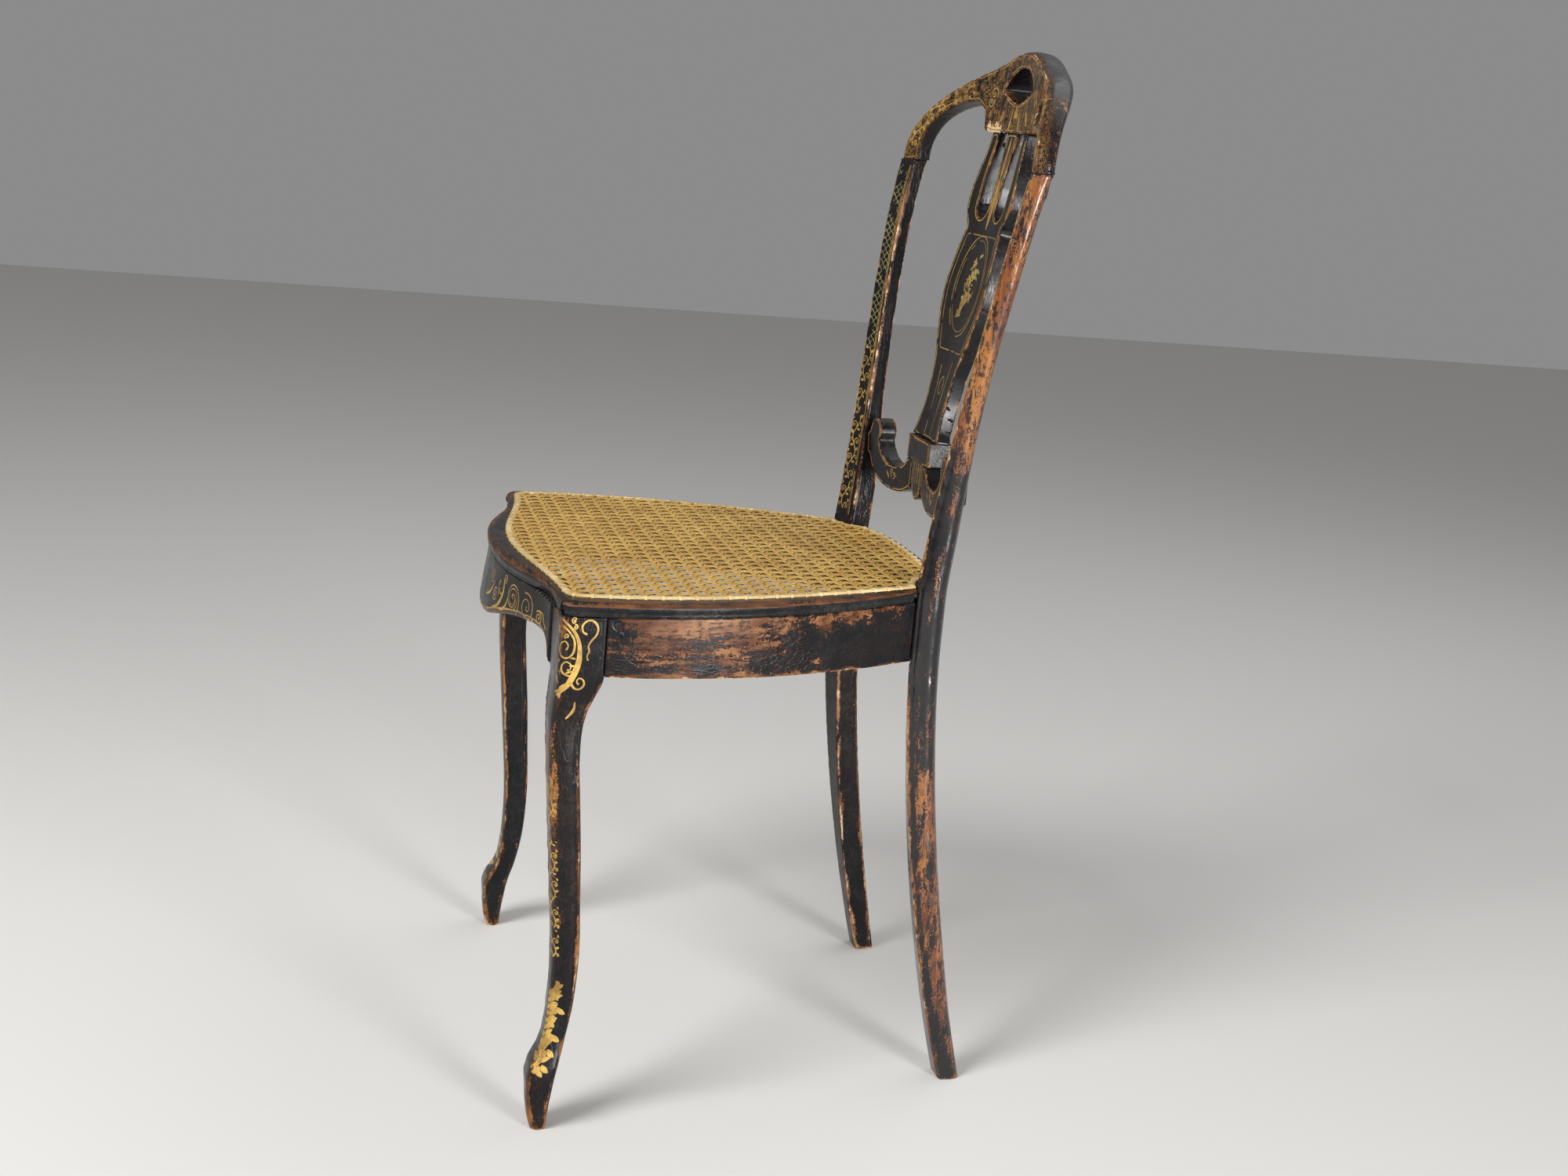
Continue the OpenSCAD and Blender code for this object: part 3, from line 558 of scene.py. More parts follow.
def makeFrontLegs(s):
    for side, sign in (("left", 1), ("right", -1)):
        piece = wornCopy("frontLeg" + side.capitalize(), "front_leg_" + side, s)

        def sculpt(p, n, e):
            # the outer front corner is a broad round from the seat down to the ankle
            corner = np.clip(((n[:, 0] * sign - n[:, 1]) * 0.707 - 0.2) / 0.4, 0, 1)
            return softened(p, e, s, corner * (0.25 + 0.75 * bump(p[:, 2], *s["round"])))

        def bare(p, n):
            foot, knee, top = (bump(p[:, 2], *s[k]) for k in ("foot", "knee", "top"))
            front = np.clip(-n[:, 1], 0, 1)
            return foot * 0.35 + knee * 0.62 * front + top * 0.5 + 0.12 * front
        finishWood(piece, "front_leg_" + side, blackZ, bare, None, sculpt)


def crowned(p, sign, crown, step=6 * mm):
    # the outer face swells between its front and rear edges
    levels = np.arange(4 * mm, p[:, 2].max(), step)
    rows = []
    for z in levels:
        row = p[np.abs(p[:, 2] - z) < step / 2]
        rows.append((row[:, 1].min(), row[:, 1].max(), (sign * row[:, 0]).min(), (sign * row[:, 0]).max()))
    front, back, inside, outside = (np.interp(p[:, 2], levels, column) for column in np.array(rows).T)
    across = np.clip((2 * p[:, 1] - front - back) / (back - front), -1, 1)
    share = np.clip((sign * p[:, 0] - inside) / (outside - inside), 0, 1)
    p[:, 0] -= sign * crown * across ** 2 * share
    return p


def makeRearLegs(s):
    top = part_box("rear_leg_left")[1].z
    for side, sign in (("left", 1), ("right", -1)):
        piece = wornCopy("rearLeg" + side.capitalize(), "rear_leg_" + side, s)

        def sculpt(p, n, e):
            # round outside and behind, crisp towards the opening
            away = np.clip((n[:, 0] * sign + 0.5 * n[:, 1] + 0.25) / 0.5, 0, 1)
            fade = bump(p[:, 2], 0.03, top - 8 * mm, 0.06)
            return crowned(softened(p, e, s, away * fade), sign, s["crown"] * fade)

        def bare(p, n):
            outward = np.clip(n[:, 0] * sign * 1.4, 0, 1)
            backward = np.clip(n[:, 1] * 1.2, 0, 1)
            if side == "left":  # the stile that hands and light have rubbed bare
                upper = bump(p[:, 2], *s["rubbed"]) * np.maximum(outward, 0.55 * backward) * 0.95
            else:
                upper = bump(p[:, 2], *s["faint"]) * outward * 0.5
            return upper + bump(p[:, 2], *s["lower"]) * np.maximum(0.85 * outward, backward) * 0.6
        paint = stilePaint if side == "left" else farPaint
        finishWood(piece, "rear_leg_" + side, paint, bare, None, sculpt)


makeFrontLegs(legSettings)
makeRearLegs(rearSettings)
print("stage: legs")


crestSettings = {
    "voxel": 1.4 * mm, "rounds": 4, "soften": 60, "limit": 3 * mm, "fade": 0.04,
    "broken": (-0.06, -0.03), "lap": 9 * mm, "depth": 2.2 * mm,
}


def makeCrest(s):
    piece = wornCopy("crestRail", "crest_rail", s)
    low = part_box("crest_rail")[0].z
    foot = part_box("splat")[1].z

    def broken(p):
        # over one prong of the splat the lap has split off, and raw wood shows
        ragged = foot + s["lap"] + (2.5 * np.sin(p[:, 0] * 420) + 1.5 * np.sin(p[:, 0] * 1100)) * mm
        return bump(p[:, 0], *s["broken"], 1.5 * mm) * np.clip((ragged - p[:, 2]) / mm, 0, 1)

    def sculpt(p, n, e):
        # the outer edge behind is rounded
        outward = np.abs(n[:, 0]) * (n[:, 0] * p[:, 0] > 0)
        away = np.clip((n[:, 2] + 0.6 * n[:, 1] + 0.8 * outward - 0.1) / 0.5, 0, 1)
        p = softened(p, e, s, away * bump(p[:, 2], low + 8 * mm, 2, s["fade"]))
        p[:, 1] += s["depth"] * broken(p) * np.clip(-n[:, 1] * 1.5, 0, 1)
        return p

    def bare(p, n):
        shoulder = bump(p[:, 2], 0.795, 0.86, 0.03) * np.clip(n[:, 0] * 1.5, 0, 1) * (p[:, 0] > 0) * 0.42
        top = bump(p[:, 0], -0.09, 0.16, 0.05) * np.clip(n[:, 2], 0, 1) * 0.3
        return shoulder + top + 1.7 * broken(p)

    def ground(p, n):
        return np.clip(-n[:, 1] * 1.6, 0, 1)
    finishWood(piece, "crest_rail", crestPaint, bare, ground, sculpt)


backSettings = {"voxel": 1.3 * mm, "rounds": 3, "blockBare": 0.35}
backPieces = {
    "splatBoard": ("splat", blackZ), "crossBlock": ("cross_block", blackX),
    "scrollLeft": ("cross_scroll_left", blackX), "scrollRight": ("cross_scroll_right", blackX),
}


def makeBackPieces(s):
    def bare(p, n):
        return np.full(len(p), s["blockBare"])
    for name, (nodeName, material) in backPieces.items():
        piece = wornCopy(name, nodeName, s)
        finishWood(piece, nodeName, material, bare if name == "crossBlock" else None)


makeCrest(crestSettings)
makeBackPieces(backSettings)
print("stage: back")


railSettings = {"voxel": 1.7 * mm, "rounds": 3}
railPieces = {
    "railFront": ("apron_front", blackX), "railLeft": ("apron_left", blackY),
    "railRight": ("apron_right", blackY), "railBack": ("apron_back", blackX),
}
seatFrameSettings = {"voxel": 1.3 * mm, "rounds": 4, "pull": 2.6 * mm, "nosing": 8.5 * mm, "bare": 0.15}


def makeRails(s):
    for name, (nodeName, material) in railPieces.items():
        piece = wornCopy(name, nodeName, s)

        def bare(p, n):
            top = bump(p[:, 2], 0.432, 0.46, 0.01) * 0.3
            if name in ("railFront", "railBack"):
                return top
            outward = np.clip(np.abs(n[:, 0]) * 1.5, 0, 1) * (p[:, 0] * n[:, 0] > 0)
            middle = bump(p[:, 1], -0.15, 0.0, 0.07) * (0.6 + 0.4 * bump(p[:, 2], 0.41, 0.5, 0.03))
            rear = bump(p[:, 1], 0.0, 0.09, 0.05) * bump(p[:, 2], 0.42, 0.5, 0.014) * 0.7
            return outward * (np.maximum(middle, rear) * 0.85 + top)
        finishWood(piece, nodeName, material, bare)


def makeSeatFrame(s):
    middle = (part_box("cane_panel")[0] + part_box("cane_panel")[1]) / 2
    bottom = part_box("cane_frame_front")[0].z

    def sculpt(p, n, e):
        # the rim draws in below, so that it runs into the rails
        away = (p[:, 0] - middle.x) * n[:, 0] + (p[:, 1] - middle.y) * n[:, 1] > 0
        outward = away * np.hypot(n[:, 0], n[:, 1])
        pull = s["pull"] * np.clip(outward * 1.3, 0, 1)
        pull *= bump(p[:, 2], bottom - 10 * mm, bottom + 6.5 * mm, 6 * mm)
        p[:, :2] -= n[:, :2] * pull[:, None]
        return p

    def bare(p, n):
        # the nosing keeps its black, and the top is rubbed
        return np.clip((p[:, 2] - bottom - s["nosing"]) / (1.5 * mm), -1, s["bare"])
    for side in ("front", "left", "right", "back"):
        material = framePaintX if side in ("front", "back") else framePaint
        piece = wornCopy("seatFrame" + side.capitalize(), "cane_frame_" + side, s)
        finishWood(piece, "cane_frame_" + side, material, bare, None, sculpt)


makeRails(railSettings)
makeSeatFrame(seatFrameSettings)
print("stage: seat frame and rails")


rawSettings = {
    "light": (0.42, 0.27, 0.13, 1), "dark": (0.28, 0.16, 0.07, 1), "flecks": 0.25, "rough": 0.65,
    "depth": 0.3 * mm,
}


def makeRawWood(s):
    material, tree, shader = newMaterial("rawWood")
    place = placeOn(tree)
    grain = stretched(tree, place, grainAlong["x"])
    wood = useGroup(tree, bareWood, Vector=place, Grain=grain, Light=s["light"], Dark=s["dark"],
                    Flecks=s["flecks"])
    feed(tree, wood["Color"], shader.inputs["Base Color"])
    shader.inputs["Roughness"].default_value = s["rough"]
    emboss(tree, shader, wood["Height"], s["depth"])
    return material


def dressJoinery(s):
    # the hidden joinery keeps its CAD shape
    raw = makeRawWood(s)
    for name in ("corner_blocks", "apron_dowels", "crest_dowels", "scroll_dowels", "rail_plugs"):
        kept = frame["nodes"][name]
        kept.data.materials.clear()
        kept.data.materials.append(framePaint if name == "rail_plugs" else raw)


dressJoinery(rawSettings)
print("stage: joinery")


caneSettings = {
    "seat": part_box("cane_panel")[0].z, "middle": 1.25 * mm, "pitchX": 14.85 * mm, "pitchY": 13.5 * mm,
    "pair": 1.9 * mm, "strand": 2.7 * mm, "diagonal": 2.9 * mm, "thick": 0.55 * mm, "lift": 0.5 * mm,
    "step": 3.4 * mm, "shortest": 12 * mm, "columns": 20, "rows": 40,  # more than the seat holds
    "binder": 5.4 * mm, "binderThick": 2.2 * mm, "binderInset": 0.3 * mm, "holePitch": 14 * mm,
    "tieTop": 1.35 * mm, "tieOver": 0.5 * mm,
    "tie": ((-1, 2.6), (-0.93, 0.9), (-0.6, 0.1), (0.6, 0.1), (0.93, 0.9), (1, 2.6)),  # across, and mm down
}


def caneOutline():
    # the panel's edge, in order round the seat
    points = {(round(v.co.x, 5), round(v.co.y, 5)) for v in frame["nodes"]["cane_panel"].data.vertices}
    middle = (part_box("cane_panel")[0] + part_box("cane_panel")[1]) / 2
    return sorted(points, key=lambda p: math.atan2(p[1] - middle.y, p[0] - middle.x))


def crossings(outline, start, direction):
    # where a line crosses the outline, as distances along the line
    found = []
    for a, b in zip(outline, outline[1:] + outline[:1]):
        ex, ey = b[0] - a[0], b[1] - a[1]
        det = direction[0] * -ey + direction[1] * ex
        if abs(det) < 1e-12:
            continue
        rx, ry = a[0] - start[0], a[1] - start[1]
        along = (rx * -ey + ry * ex) / det
        share = (direction[0] * ry - direction[1] * rx) / det
        if 0 <= share < 1:
            found.append(along)
    return sorted(found)


def flatProfile(name, width, thick):
    # the outline that a strand of split cane is swept with: flat below, crowned above
    bpy.ops.curve.primitive_nurbs_path_add()
    profile = bpy.context.object
    profile.name = name
    profile.data.dimensions = "2D"
    profile.data.splines.clear()
    spline = profile.data.splines.new("POLY")
    spline.use_cyclic_u = True
    shape = [(-0.5, -0.5), (0.5, -0.5), (0.5, 0.0), (0.28, 0.42), (-0.28, 0.42), (-0.5, 0.0)]
    spline.points.add(len(shape) - 1)
    for point, (x, y) in zip(spline.points, shape):
        point.co = (x * width, y * thick, 0, 1)
    profile.select_set(False)
    return profile


def sweep(name, lines, profile, cyclic=False):
    # one mesh of many swept strands
    bpy.ops.curve.primitive_nurbs_path_add()
    piece = bpy.context.object
    piece.name = name
    piece.location = (0, 0, 0)
    curve = piece.data
    curve.dimensions = "3D"
    curve.twist_mode = "Z_UP"
    curve.splines.clear()
    for line in lines:
        spline = curve.splines.new("POLY")
        spline.points.add(len(line) - 1)
        spline.points.foreach_set("co", [c for p in line for c in (*p, 1)])
        spline.use_cyclic_u = cyclic
    curve.bevel_mode = "OBJECT"
    curve.bevel_object = profile
    curve.use_fill_caps = not cyclic
    chosen(piece)
    bpy.ops.object.convert(target="MESH")
    piece = bpy.context.object
    bpy.ops.object.shade_smooth_by_angle(angle=math.radians(50))
    return piece


def strandLine(outline, start, direction, heightAt, s):
    # a strand inside the outline, with its height over the weave's middle set by its x
    cut = crossings(outline, start, direction)
    lines = []
    for a, b in zip(cut[0::2], cut[1::2]):
        if b - a < s["shortest"]:
            continue
        count = max(3, int((b - a) / s["step"]))
        line = []
        for i in range(count + 1):
            t = a + (b - a) * i / count
            x, y = start[0] + direction[0] * t, start[1] + direction[1] * t
            line.append((x, y, s["seat"] + s["middle"] + heightAt(x)))
        lines.append(line)
    return lines


def ringInside(outline, inset):
    inside = []
    for before, at, after in zip(outline[-1:] + outline[:-1], outline, outline[1:] + outline[:1]):
        along = Vector((after[0] - before[0], after[1] - before[1])).normalized()
        inside.append((at[0] - along.y * inset, at[1] + along.x * inset))
    return inside


def makeWeave(s, binding, low):
    # six-way cane: pairs of uprights and of rungs, with diagonals that go over one and under the other
    px, py, lift, columns = s["pitchX"], s["pitchY"], s["lift"], s["columns"]
    firstRung = low.y + 0.5 * py
    uprights, rungs, rising, falling = [], [], [], []
    for i in range(-columns, columns + 1):
        for side in (-1, 1):
            x = i * px + side * s["pair"]
            uprights += strandLine(binding, (x, low.y - 0.05), (0, 1), lambda u, k=side: lift * k, s)
    for j in range(s["rows"]):
        for side in (-1, 1):
            y = firstRung + j * py + side * s["pair"]
            rungs += strandLine(binding, (low.x - 0.05, y), (1, 0),
                                lambda u, k=side: 0.3 * lift * k * math.cos(math.pi * u / px), s)

    def over(u):
        # up where a diagonal crosses an upright pair, down where it crosses a pair of rungs
        return 1.9 * lift * math.cos(2 * math.pi * u / px)

    def under(u):
        return -over(u)
    slope = Vector((px, py)).normalized()
    base = firstRung - columns * py
    for k in range(-3 * columns, 3 * columns + 1):
        x = (k + 0.5) * px
        rising += strandLine(binding, (x - columns * px, base), slope, over, s)
        falling += strandLine(binding, (x + columns * px, base), (-slope[0], slope[1]), under, s)
    return uprights, rungs, rising, falling


def tieLines(s, ring):
    # the loops that tie the binding cane down at the holes
    lengths = [0.0]
    closed = ring + ring[:1]
    for a, b in zip(closed, closed[1:]):
        lengths.append(lengths[-1] + math.hypot(b[0] - a[0], b[1] - a[1]))
    count = round(lengths[-1] / s["holePitch"])
    top = s["seat"] + s["middle"] + s["tieTop"]
    reach = s["binder"] / 2 + s["tieOver"]
    loops = []
    for i in range(count):
        at = (i + 0.5) * lengths[-1] / count
        k = max(j for j in range(len(lengths)) if lengths[j] <= at)
        a, b = closed[k], closed[k + 1]
        t = (at - lengths[k]) / (lengths[k + 1] - lengths[k])
        x, y = a[0] + (b[0] - a[0]) * t, a[1] + (b[1] - a[1]) * t
        along = Vector((b[0] - a[0], b[1] - a[1])).normalized()
        loops.append([(x - along.y * reach * u, y + along.x * reach * u, top - drop * mm)
                      for u, drop in s["tie"]])
    return loops


def makeCane(s):
    outline = caneOutline()
    low = Vector((min(p[0] for p in outline), min(p[1] for p in outline)))
    binding = ringInside(outline, s["binderInset"])
    ring = [(x, y, s["seat"] + s["middle"]) for x, y in binding]
    narrow = flatProfile("strandProfile", s["strand"], s["thick"])
    broad = flatProfile("diagonalProfile", s["diagonal"], s["thick"])
    wide = flatProfile("binderProfile", s["binder"], s["binderThick"])
    uprights, rungs, rising, falling = makeWeave(s, binding, low)
    woven = [sweep("caneUprights", uprights, narrow), sweep("caneRungs", rungs, narrow),
             sweep("caneRising", rising, broad), sweep("caneFalling", falling, broad)]
    edging = [sweep("caneBinder", [ring], wide, cyclic=True), sweep("caneTies", tieLines(s, ring), narrow)]
    for profile in (narrow, broad, wide):
        bpy.data.objects.remove(profile)
    return woven, edging


caneLooks = {
    "gold": (0.62, 0.4, 0.105, 1), "honey": (0.38, 0.21, 0.045, 1), "pale": (0.7, 0.54, 0.27, 1),
    "tan": (0.5, 0.34, 0.13, 1), "stain": (0.13, 0.07, 0.02, 1), "stained": 0.5,
    "relief": 0.5, "depth": 0.12 * mm,
}


def makeCaneMaterial(name, light, dark, along, s=caneLooks):
    material, tree, shader = newMaterial(name)
    place = placeOn(tree)
    fibre = noise(tree, stretched(tree, place, along), 700, 4, 0.7)
    patch = noise(tree, place, 30, 4, 0.65)
    strand = noise(tree, stretched(tree, place, along), 120, 1, 0.5)
    share = maths(tree, "MULTIPLY_ADD", fibre, 0.35, maths(tree, "MULTIPLY", patch, 0.4))
    share = maths(tree, "MULTIPLY_ADD", strand, 0.45, share)
    colour = blendColour(tree, stepUp(tree, share, 0.42, 0.78), s[dark], s[light])
    stain = stepUp(tree, noise(tree, place, 75, 6, 0.75), 0.6, 0.72)
    colour = blendColour(tree, maths(tree, "MULTIPLY", stain, s["stained"]), colour, s["stain"])
    feed(tree, colour, shader.inputs["Base Color"])
    feed(tree, stepUp(tree, fibre, 0.3, 0.7, 0.3, 0.48), shader.inputs["Roughness"])
    emboss(tree, shader, fibre, s["depth"], s["relief"])
    return material


wovenPieces, edgingPieces = makeCane(caneSettings)
uprightLook = makeCaneMaterial("caneUpright", "gold", "honey", (1, 0.05, 1))
rungLook = makeCaneMaterial("caneRung", "gold", "honey", (0.05, 1, 1))
diagonalLook = makeCaneMaterial("caneDiagonal", "gold", "honey", (0.4, 0.4, 1))
for piece, look in zip(wovenPieces, (uprightLook, rungLook, diagonalLook, diagonalLook)):
    piece.data.materials.append(look)
    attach(piece, "root")
    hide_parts("cane_panel")
bindingLook = makeCaneMaterial("caneBinding", "pale", "tan", (0.3, 0.3, 1))
for piece in edgingPieces:
    piece.data.materials.append(bindingLook)
    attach(piece, "root")
    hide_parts("cane_binder")
print("stage: cane")


def makeView(pieces, azimuth):
    # what a ray meets when it looks at some pieces from the side, 0 being the front and 90 the sitter's left
    a = math.radians(azimuth)
    look, across = Vector((-math.sin(a), math.cos(a), 0)), Vector((math.cos(a), math.sin(a), 0))
    return {"tree": treeOf([piece.data for piece in pieces]), "look": look, "across": across}


def hit(view, u, v, facing=0.25):
    start = view["across"] * u - view["look"] * 2 + Vector((0, 0, v))
    place, normal, _, _ = view["tree"].ray_cast(start, view["look"])
    return (place, normal) if place is not None and normal.dot(view["look"]) < -facing else None


gildSettings = {"thick": 0.16 * mm, "edge": 0.03 * mm, "jump": 6 * mm, "wearScale": 85.0}


def gild(name, view, strokes, material, wear=-0.4, s=gildSettings):
    # thin strokes of paint, each a list of (u, v, width), laid on what the view sees
    points, faces = [], []
    for stroke in strokes:
        last = None
        for i, (u, v, width) in enumerate(stroke):
            a, b = stroke[max(i - 1, 0)], stroke[min(i + 1, len(stroke) - 1)]
            du, dv = b[0] - a[0], b[1] - a[1]
            size = math.hypot(du, dv) or 1
            row = [hit(view, u - dv / size * width * k, v + du / size * width * k) for k in (-0.5, 0, 0.5)]
            if None in row or clouds.noise(row[1][0] * s["wearScale"]) < wear:
                last = None
                continue
            start = len(points)
            points += [p + n * lift for (p, n), lift in zip(row, (s["edge"], s["thick"], s["edge"]))]
            if last is not None and (points[last + 1] - points[start + 1]).length < s["jump"]:
                faces += [(last + k, start + k, start + k + 1, last + k + 1) for k in (0, 1)]
            last = start
    mesh = bpy.data.meshes.new(name)
    mesh.from_pydata(points, [], faces)
    mesh.materials.append(material)
    piece = bpy.data.objects.new(name, mesh)
    bpy.context.scene.collection.objects.link(piece)
    chosen(piece)
    bpy.ops.object.mode_set(mode="EDIT")
    bpy.ops.mesh.delete_loose()
    bpy.ops.object.mode_set(mode="OBJECT")
    bpy.ops.object.shade_smooth()
    piece.select_set(False)
    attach(piece, "root")
    return piece


def makeGold(name, bright, dull, rough=0.45):
    material, tree, shader = newMaterial(name)
    place = placeOn(tree)
    patch = noise(tree, place, 260, 4, 0.7)
    broad = noise(tree, place, 40, 3, 0.6)
    share = maths(tree, "MULTIPLY_ADD", broad, 0.6, maths(tree, "MULTIPLY", patch, 0.5))
    colour = blendColour(tree, stepUp(tree, share, 0.4, 0.68), (*dull, 1), (*bright, 1))
    feed(tree, colour, shader.inputs["Base Color"])
    feed(tree, stepUp(tree, patch, 0.3, 0.7, rough - 0.08, rough + 0.15), shader.inputs["Roughness"])
    shader.inputs["Metallic"].default_value = 0.35
    return material


goldLeaf = makeGold("goldLeaf", (0.58, 0.37, 0.085), (0.27, 0.15, 0.035))
oldGold = makeGold("oldGold", (0.52, 0.31, 0.085), (0.24, 0.125, 0.035))
greenGold = makeGold("greenGold", (0.48, 0.43, 0.17), (0.2, 0.17, 0.06))


def curl(at, heading, size, hand, width, turns):
    # a scroll that winds up from its root and tapers to a bead
    x, y = at
    count = int(16 * turns)
    step = size * 0.4
    points = []
    for i in range(count + 1):
        points.append((x, y, width * (1 - 0.5 * i / count)))
        heading += hand * math.radians(22.5) * min(1, (i + 1) / 3)
        x, y = x + math.cos(heading) * step, y + math.sin(heading) * step
        step *= 0.925
    bead = [(x + k * width * 0.6, y, w * width) for k, w in ((-1, 0.2), (-0.4, 1), (0.4, 1), (1, 0.2))]
    return [points, bead]


def spiral(centre, size, start, hand, width, turns):
    # a scroll wound about a centre, from its outside
    x, y = centre
    count = int(18 * turns)
    points = []
    for i in range(count + 1):
        turn = start + hand * 2 * math.pi * turns * i / count
        r = size * (1 - 0.86 * (i / count) ** 1.3)
        points.append((x + r * math.cos(turn), y + r * math.sin(turn), width * (1 - 0.4 * i / count)))
    bead = [(x + k * width * 0.7, y, w * width) for k, w in ((-1, 0.3), (0, 1.3), (1, 0.3))]
    return [points, bead]


def fluent(stroke, pace):
    # a smooth line through a few given points
    points = np.array(stroke)
    points = np.vstack([2 * points[0] - points[1], points, 2 * points[-1] - points[-2]])
    line = []
    for a, b, c, d in zip(points, points[1:], points[2:], points[3:]):
        count = max(1, int(math.hypot(*(c - b)[:2]) / pace))
        for i in range(count):
            x = i / count
            bent = (2 * a - 5 * b + 4 * c - d) * x ** 2 + (3 * b - a - 3 * c + d) * x ** 3
            line.append(tuple(0.5 * (2 * b + (c - a) * x + bent)))
    return line + [tuple(points[-2])]


def blade(at, heading, length, width, bend=0.0, count=9):
    # a leaf or a petal
    x, y = at
    pace = length / (count - 1)
    points = []
    for i in range(count):
        swell = math.sin(math.pi * min(1, i / (count - 1) * 0.92 + 0.04)) ** 0.8
        points.append((x, y, width * max(0.12, swell)))
        heading += bend / count
        x, y = x + math.cos(heading) * pace, y + math.sin(heading) * pace
    return points


vineLeaves = (  # place along and across, heading, length, width and bend
    (0.62, 0.4, 0.5, 0.55, 0.3, 1), (0.9, -0.1, -1.1, 0.5, 0.22, -1), (0.45, -0.72, -0.2, 0.4, 0.2, 1),
)


def vine(start, end, half, width, leafy):
    # a running scroll in strip places, from start to end along it and half as half its width
    count = max(2, round((end - start) / (half * 1.75)))
    pace = (end - start) / count
    strokes = [[(start + pace * i / 8, 0.42 * half * math.sin(math.pi * i / 8), width)
                for i in range(count * 8 + 1)]]
    for k in range(count):
        side = 1 if k % 2 == 0 else -1
        at = start + pace * k
        strokes += curl((at, 0), 0.25 * side, 0.5 * half, -side, width * 0.9, 1.55)
        root = (at + pace * 0.3, 0.4 * half * side)
        strokes += curl(root, 0.9 * side, 0.26 * half, side, width * 0.75, 1.1)
        for along, off, heading, length, broad, bend in vineLeaves:
            root = (at + pace * along, off * half * side)
            strokes.append(blade(root, heading * side, length * half, broad * half * leafy, bend * side))
    return strokes


def scales(start, end, half, width, wave=14 * mm):
    # a fine net of wavy lines
    length = end - start
    count = int(length / (1.1 * mm))
    strokes = []
    for middle in (-0.5, 0.45):
        for turn in (0, math.pi):
            swing = [math.sin(2 * math.pi * length * i / count / wave + turn) for i in range(count + 1)]
            strokes.append([(start + length * i / count, half * (middle + 0.42 * w), width)
                            for i, w in enumerate(swing)])
    return strokes


def makeStrip(view, origins, ways, low, high, facing=0.6, step=0.7 * mm):
    # a band that faces the view: its middle, its sideways direction and its half width along its length
    mids, sides, halves = [], [], []
    for (u, v), (du, dv) in zip(origins, ways):
        seen = [r for r in np.arange(low, high, step) if hit(view, u + du * r, v + dv * r, facing)]
        if len(seen) < 4:
            continue
        middle = (seen[0] + seen[-1]) / 2
        mids.append((u + du * middle, v + dv * middle))
        sides.append((du, dv))
        halves.append((seen[-1] - seen[0]) / 2)

    def smooth(values):
        return np.convolve(np.pad(values, 2, mode="edge"), np.ones(5) / 5, "valid")
    mids = np.column_stack([smooth(column) for column in np.array(mids).T])
    run = np.concatenate([[0], np.cumsum(np.hypot(*np.diff(mids, axis=0).T))])
    columns = [*mids.T, *np.array(sides).T, smooth(np.array(halves))]
    return {"run": run, "length": run[-1], "bottom": mids[0][1], "columns": columns}


def onStrip(strip, strokes, share=None):
    # strip places to view places; with a share, the second number counts in half widths times it
    placed = []
    for stroke in strokes:
        line = []
        for at, off, width in stroke:
            u, v, du, dv, half = (np.interp(at, strip["run"], column) for column in strip["columns"])
            reach = off * half * share if share else off
            line.append((u + du * reach, v + dv * reach, width))
        placed.append(line)
    return placed


def insetMap(view, low, high, inset, step, facing):
    # how many steps each cell of a grid is inside the edge of what faces the view
    columns, rows = int((high[0] - low[0]) / step) + 8, int((high[1] - low[1]) / step) + 8
    mask = np.array([[hit(view, low[0] + (i - 4) * step, low[1] + (j - 4) * step, facing) is not None
                      for i in range(columns)] for j in range(rows)])
    reach = int(inset / step) + 3
    padded = np.pad(mask, reach)
    depth = np.full(mask.shape, float(reach))
    for dj in range(-reach, reach + 1):
        for di in range(-reach, reach + 1):
            near = padded[reach + dj:reach + dj + rows, reach + di:reach + di + columns]
            depth = np.where(near, depth, np.minimum(depth, math.hypot(di, dj)))
    return depth


def edgeLines(view, low, high, inset, width, step=0.9 * mm, facing=0.55, shortest=14):
    # lines that follow every edge of what faces the view, a set way in from it
    depth = insetMap(view, low, high, inset, step, facing)
    level = inset / step
    inside = depth > level
    links, places = {}, {}
    mixed = inside[:-1, :-1].astype(int) + inside[:-1, 1:] + inside[1:, :-1] + inside[1:, 1:]
    for j, i in zip(*np.nonzero((mixed > 0) & (mixed < 4))):
        corners = [(j, i), (j, i + 1), (j + 1, i + 1), (j + 1, i)]
        cut = []
        for a, b in zip(corners, corners[1:] + corners[:1]):
            if inside[a] != inside[b]:
                key = (min(a, b), max(a, b))
                share = (level - depth[a]) / (depth[b] - depth[a])
                places[key] = (low[0] + (a[1] + (b[1] - a[1]) * share - 4) * step,
                               low[1] + (a[0] + (b[0] - a[0]) * share - 4) * step)
                cut.append(key)
        for a, b in zip(cut[0::2], cut[1::2]):
            links.setdefault(a, []).append(b)
            links.setdefault(b, []).append(a)
    strokes, left = [], set(links)
    while left:
        line = [min(left)]
        left.discard(line[0])
        while True:
            onward = [k for k in links[line[-1]] if k in left]
            if not onward:
                break
            line.append(onward[0])
            left.discard(onward[0])
        if len(line) < shortest:
            continue
        path = np.array([places[k] for k in line])
        for _ in range(7):
            path = (np.roll(path, 1, 0) + path + np.roll(path, -1, 0)) / 3
        strokes.append([(u, v, width) for u, v in path[::2]] + [(*path[0], width)])
    return strokes


def boxLines(view, nodeName, inset, width):
    low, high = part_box(nodeName)
    return edgeLines(view, (low.x, low.z), (high.x, high.z), inset, width)


def oval(centre, half, tall, width, count):
    turns = [2 * math.pi * i / count for i in range(count + 1)]
    return [(half * math.cos(t), centre + tall * math.sin(t), width) for t in turns]


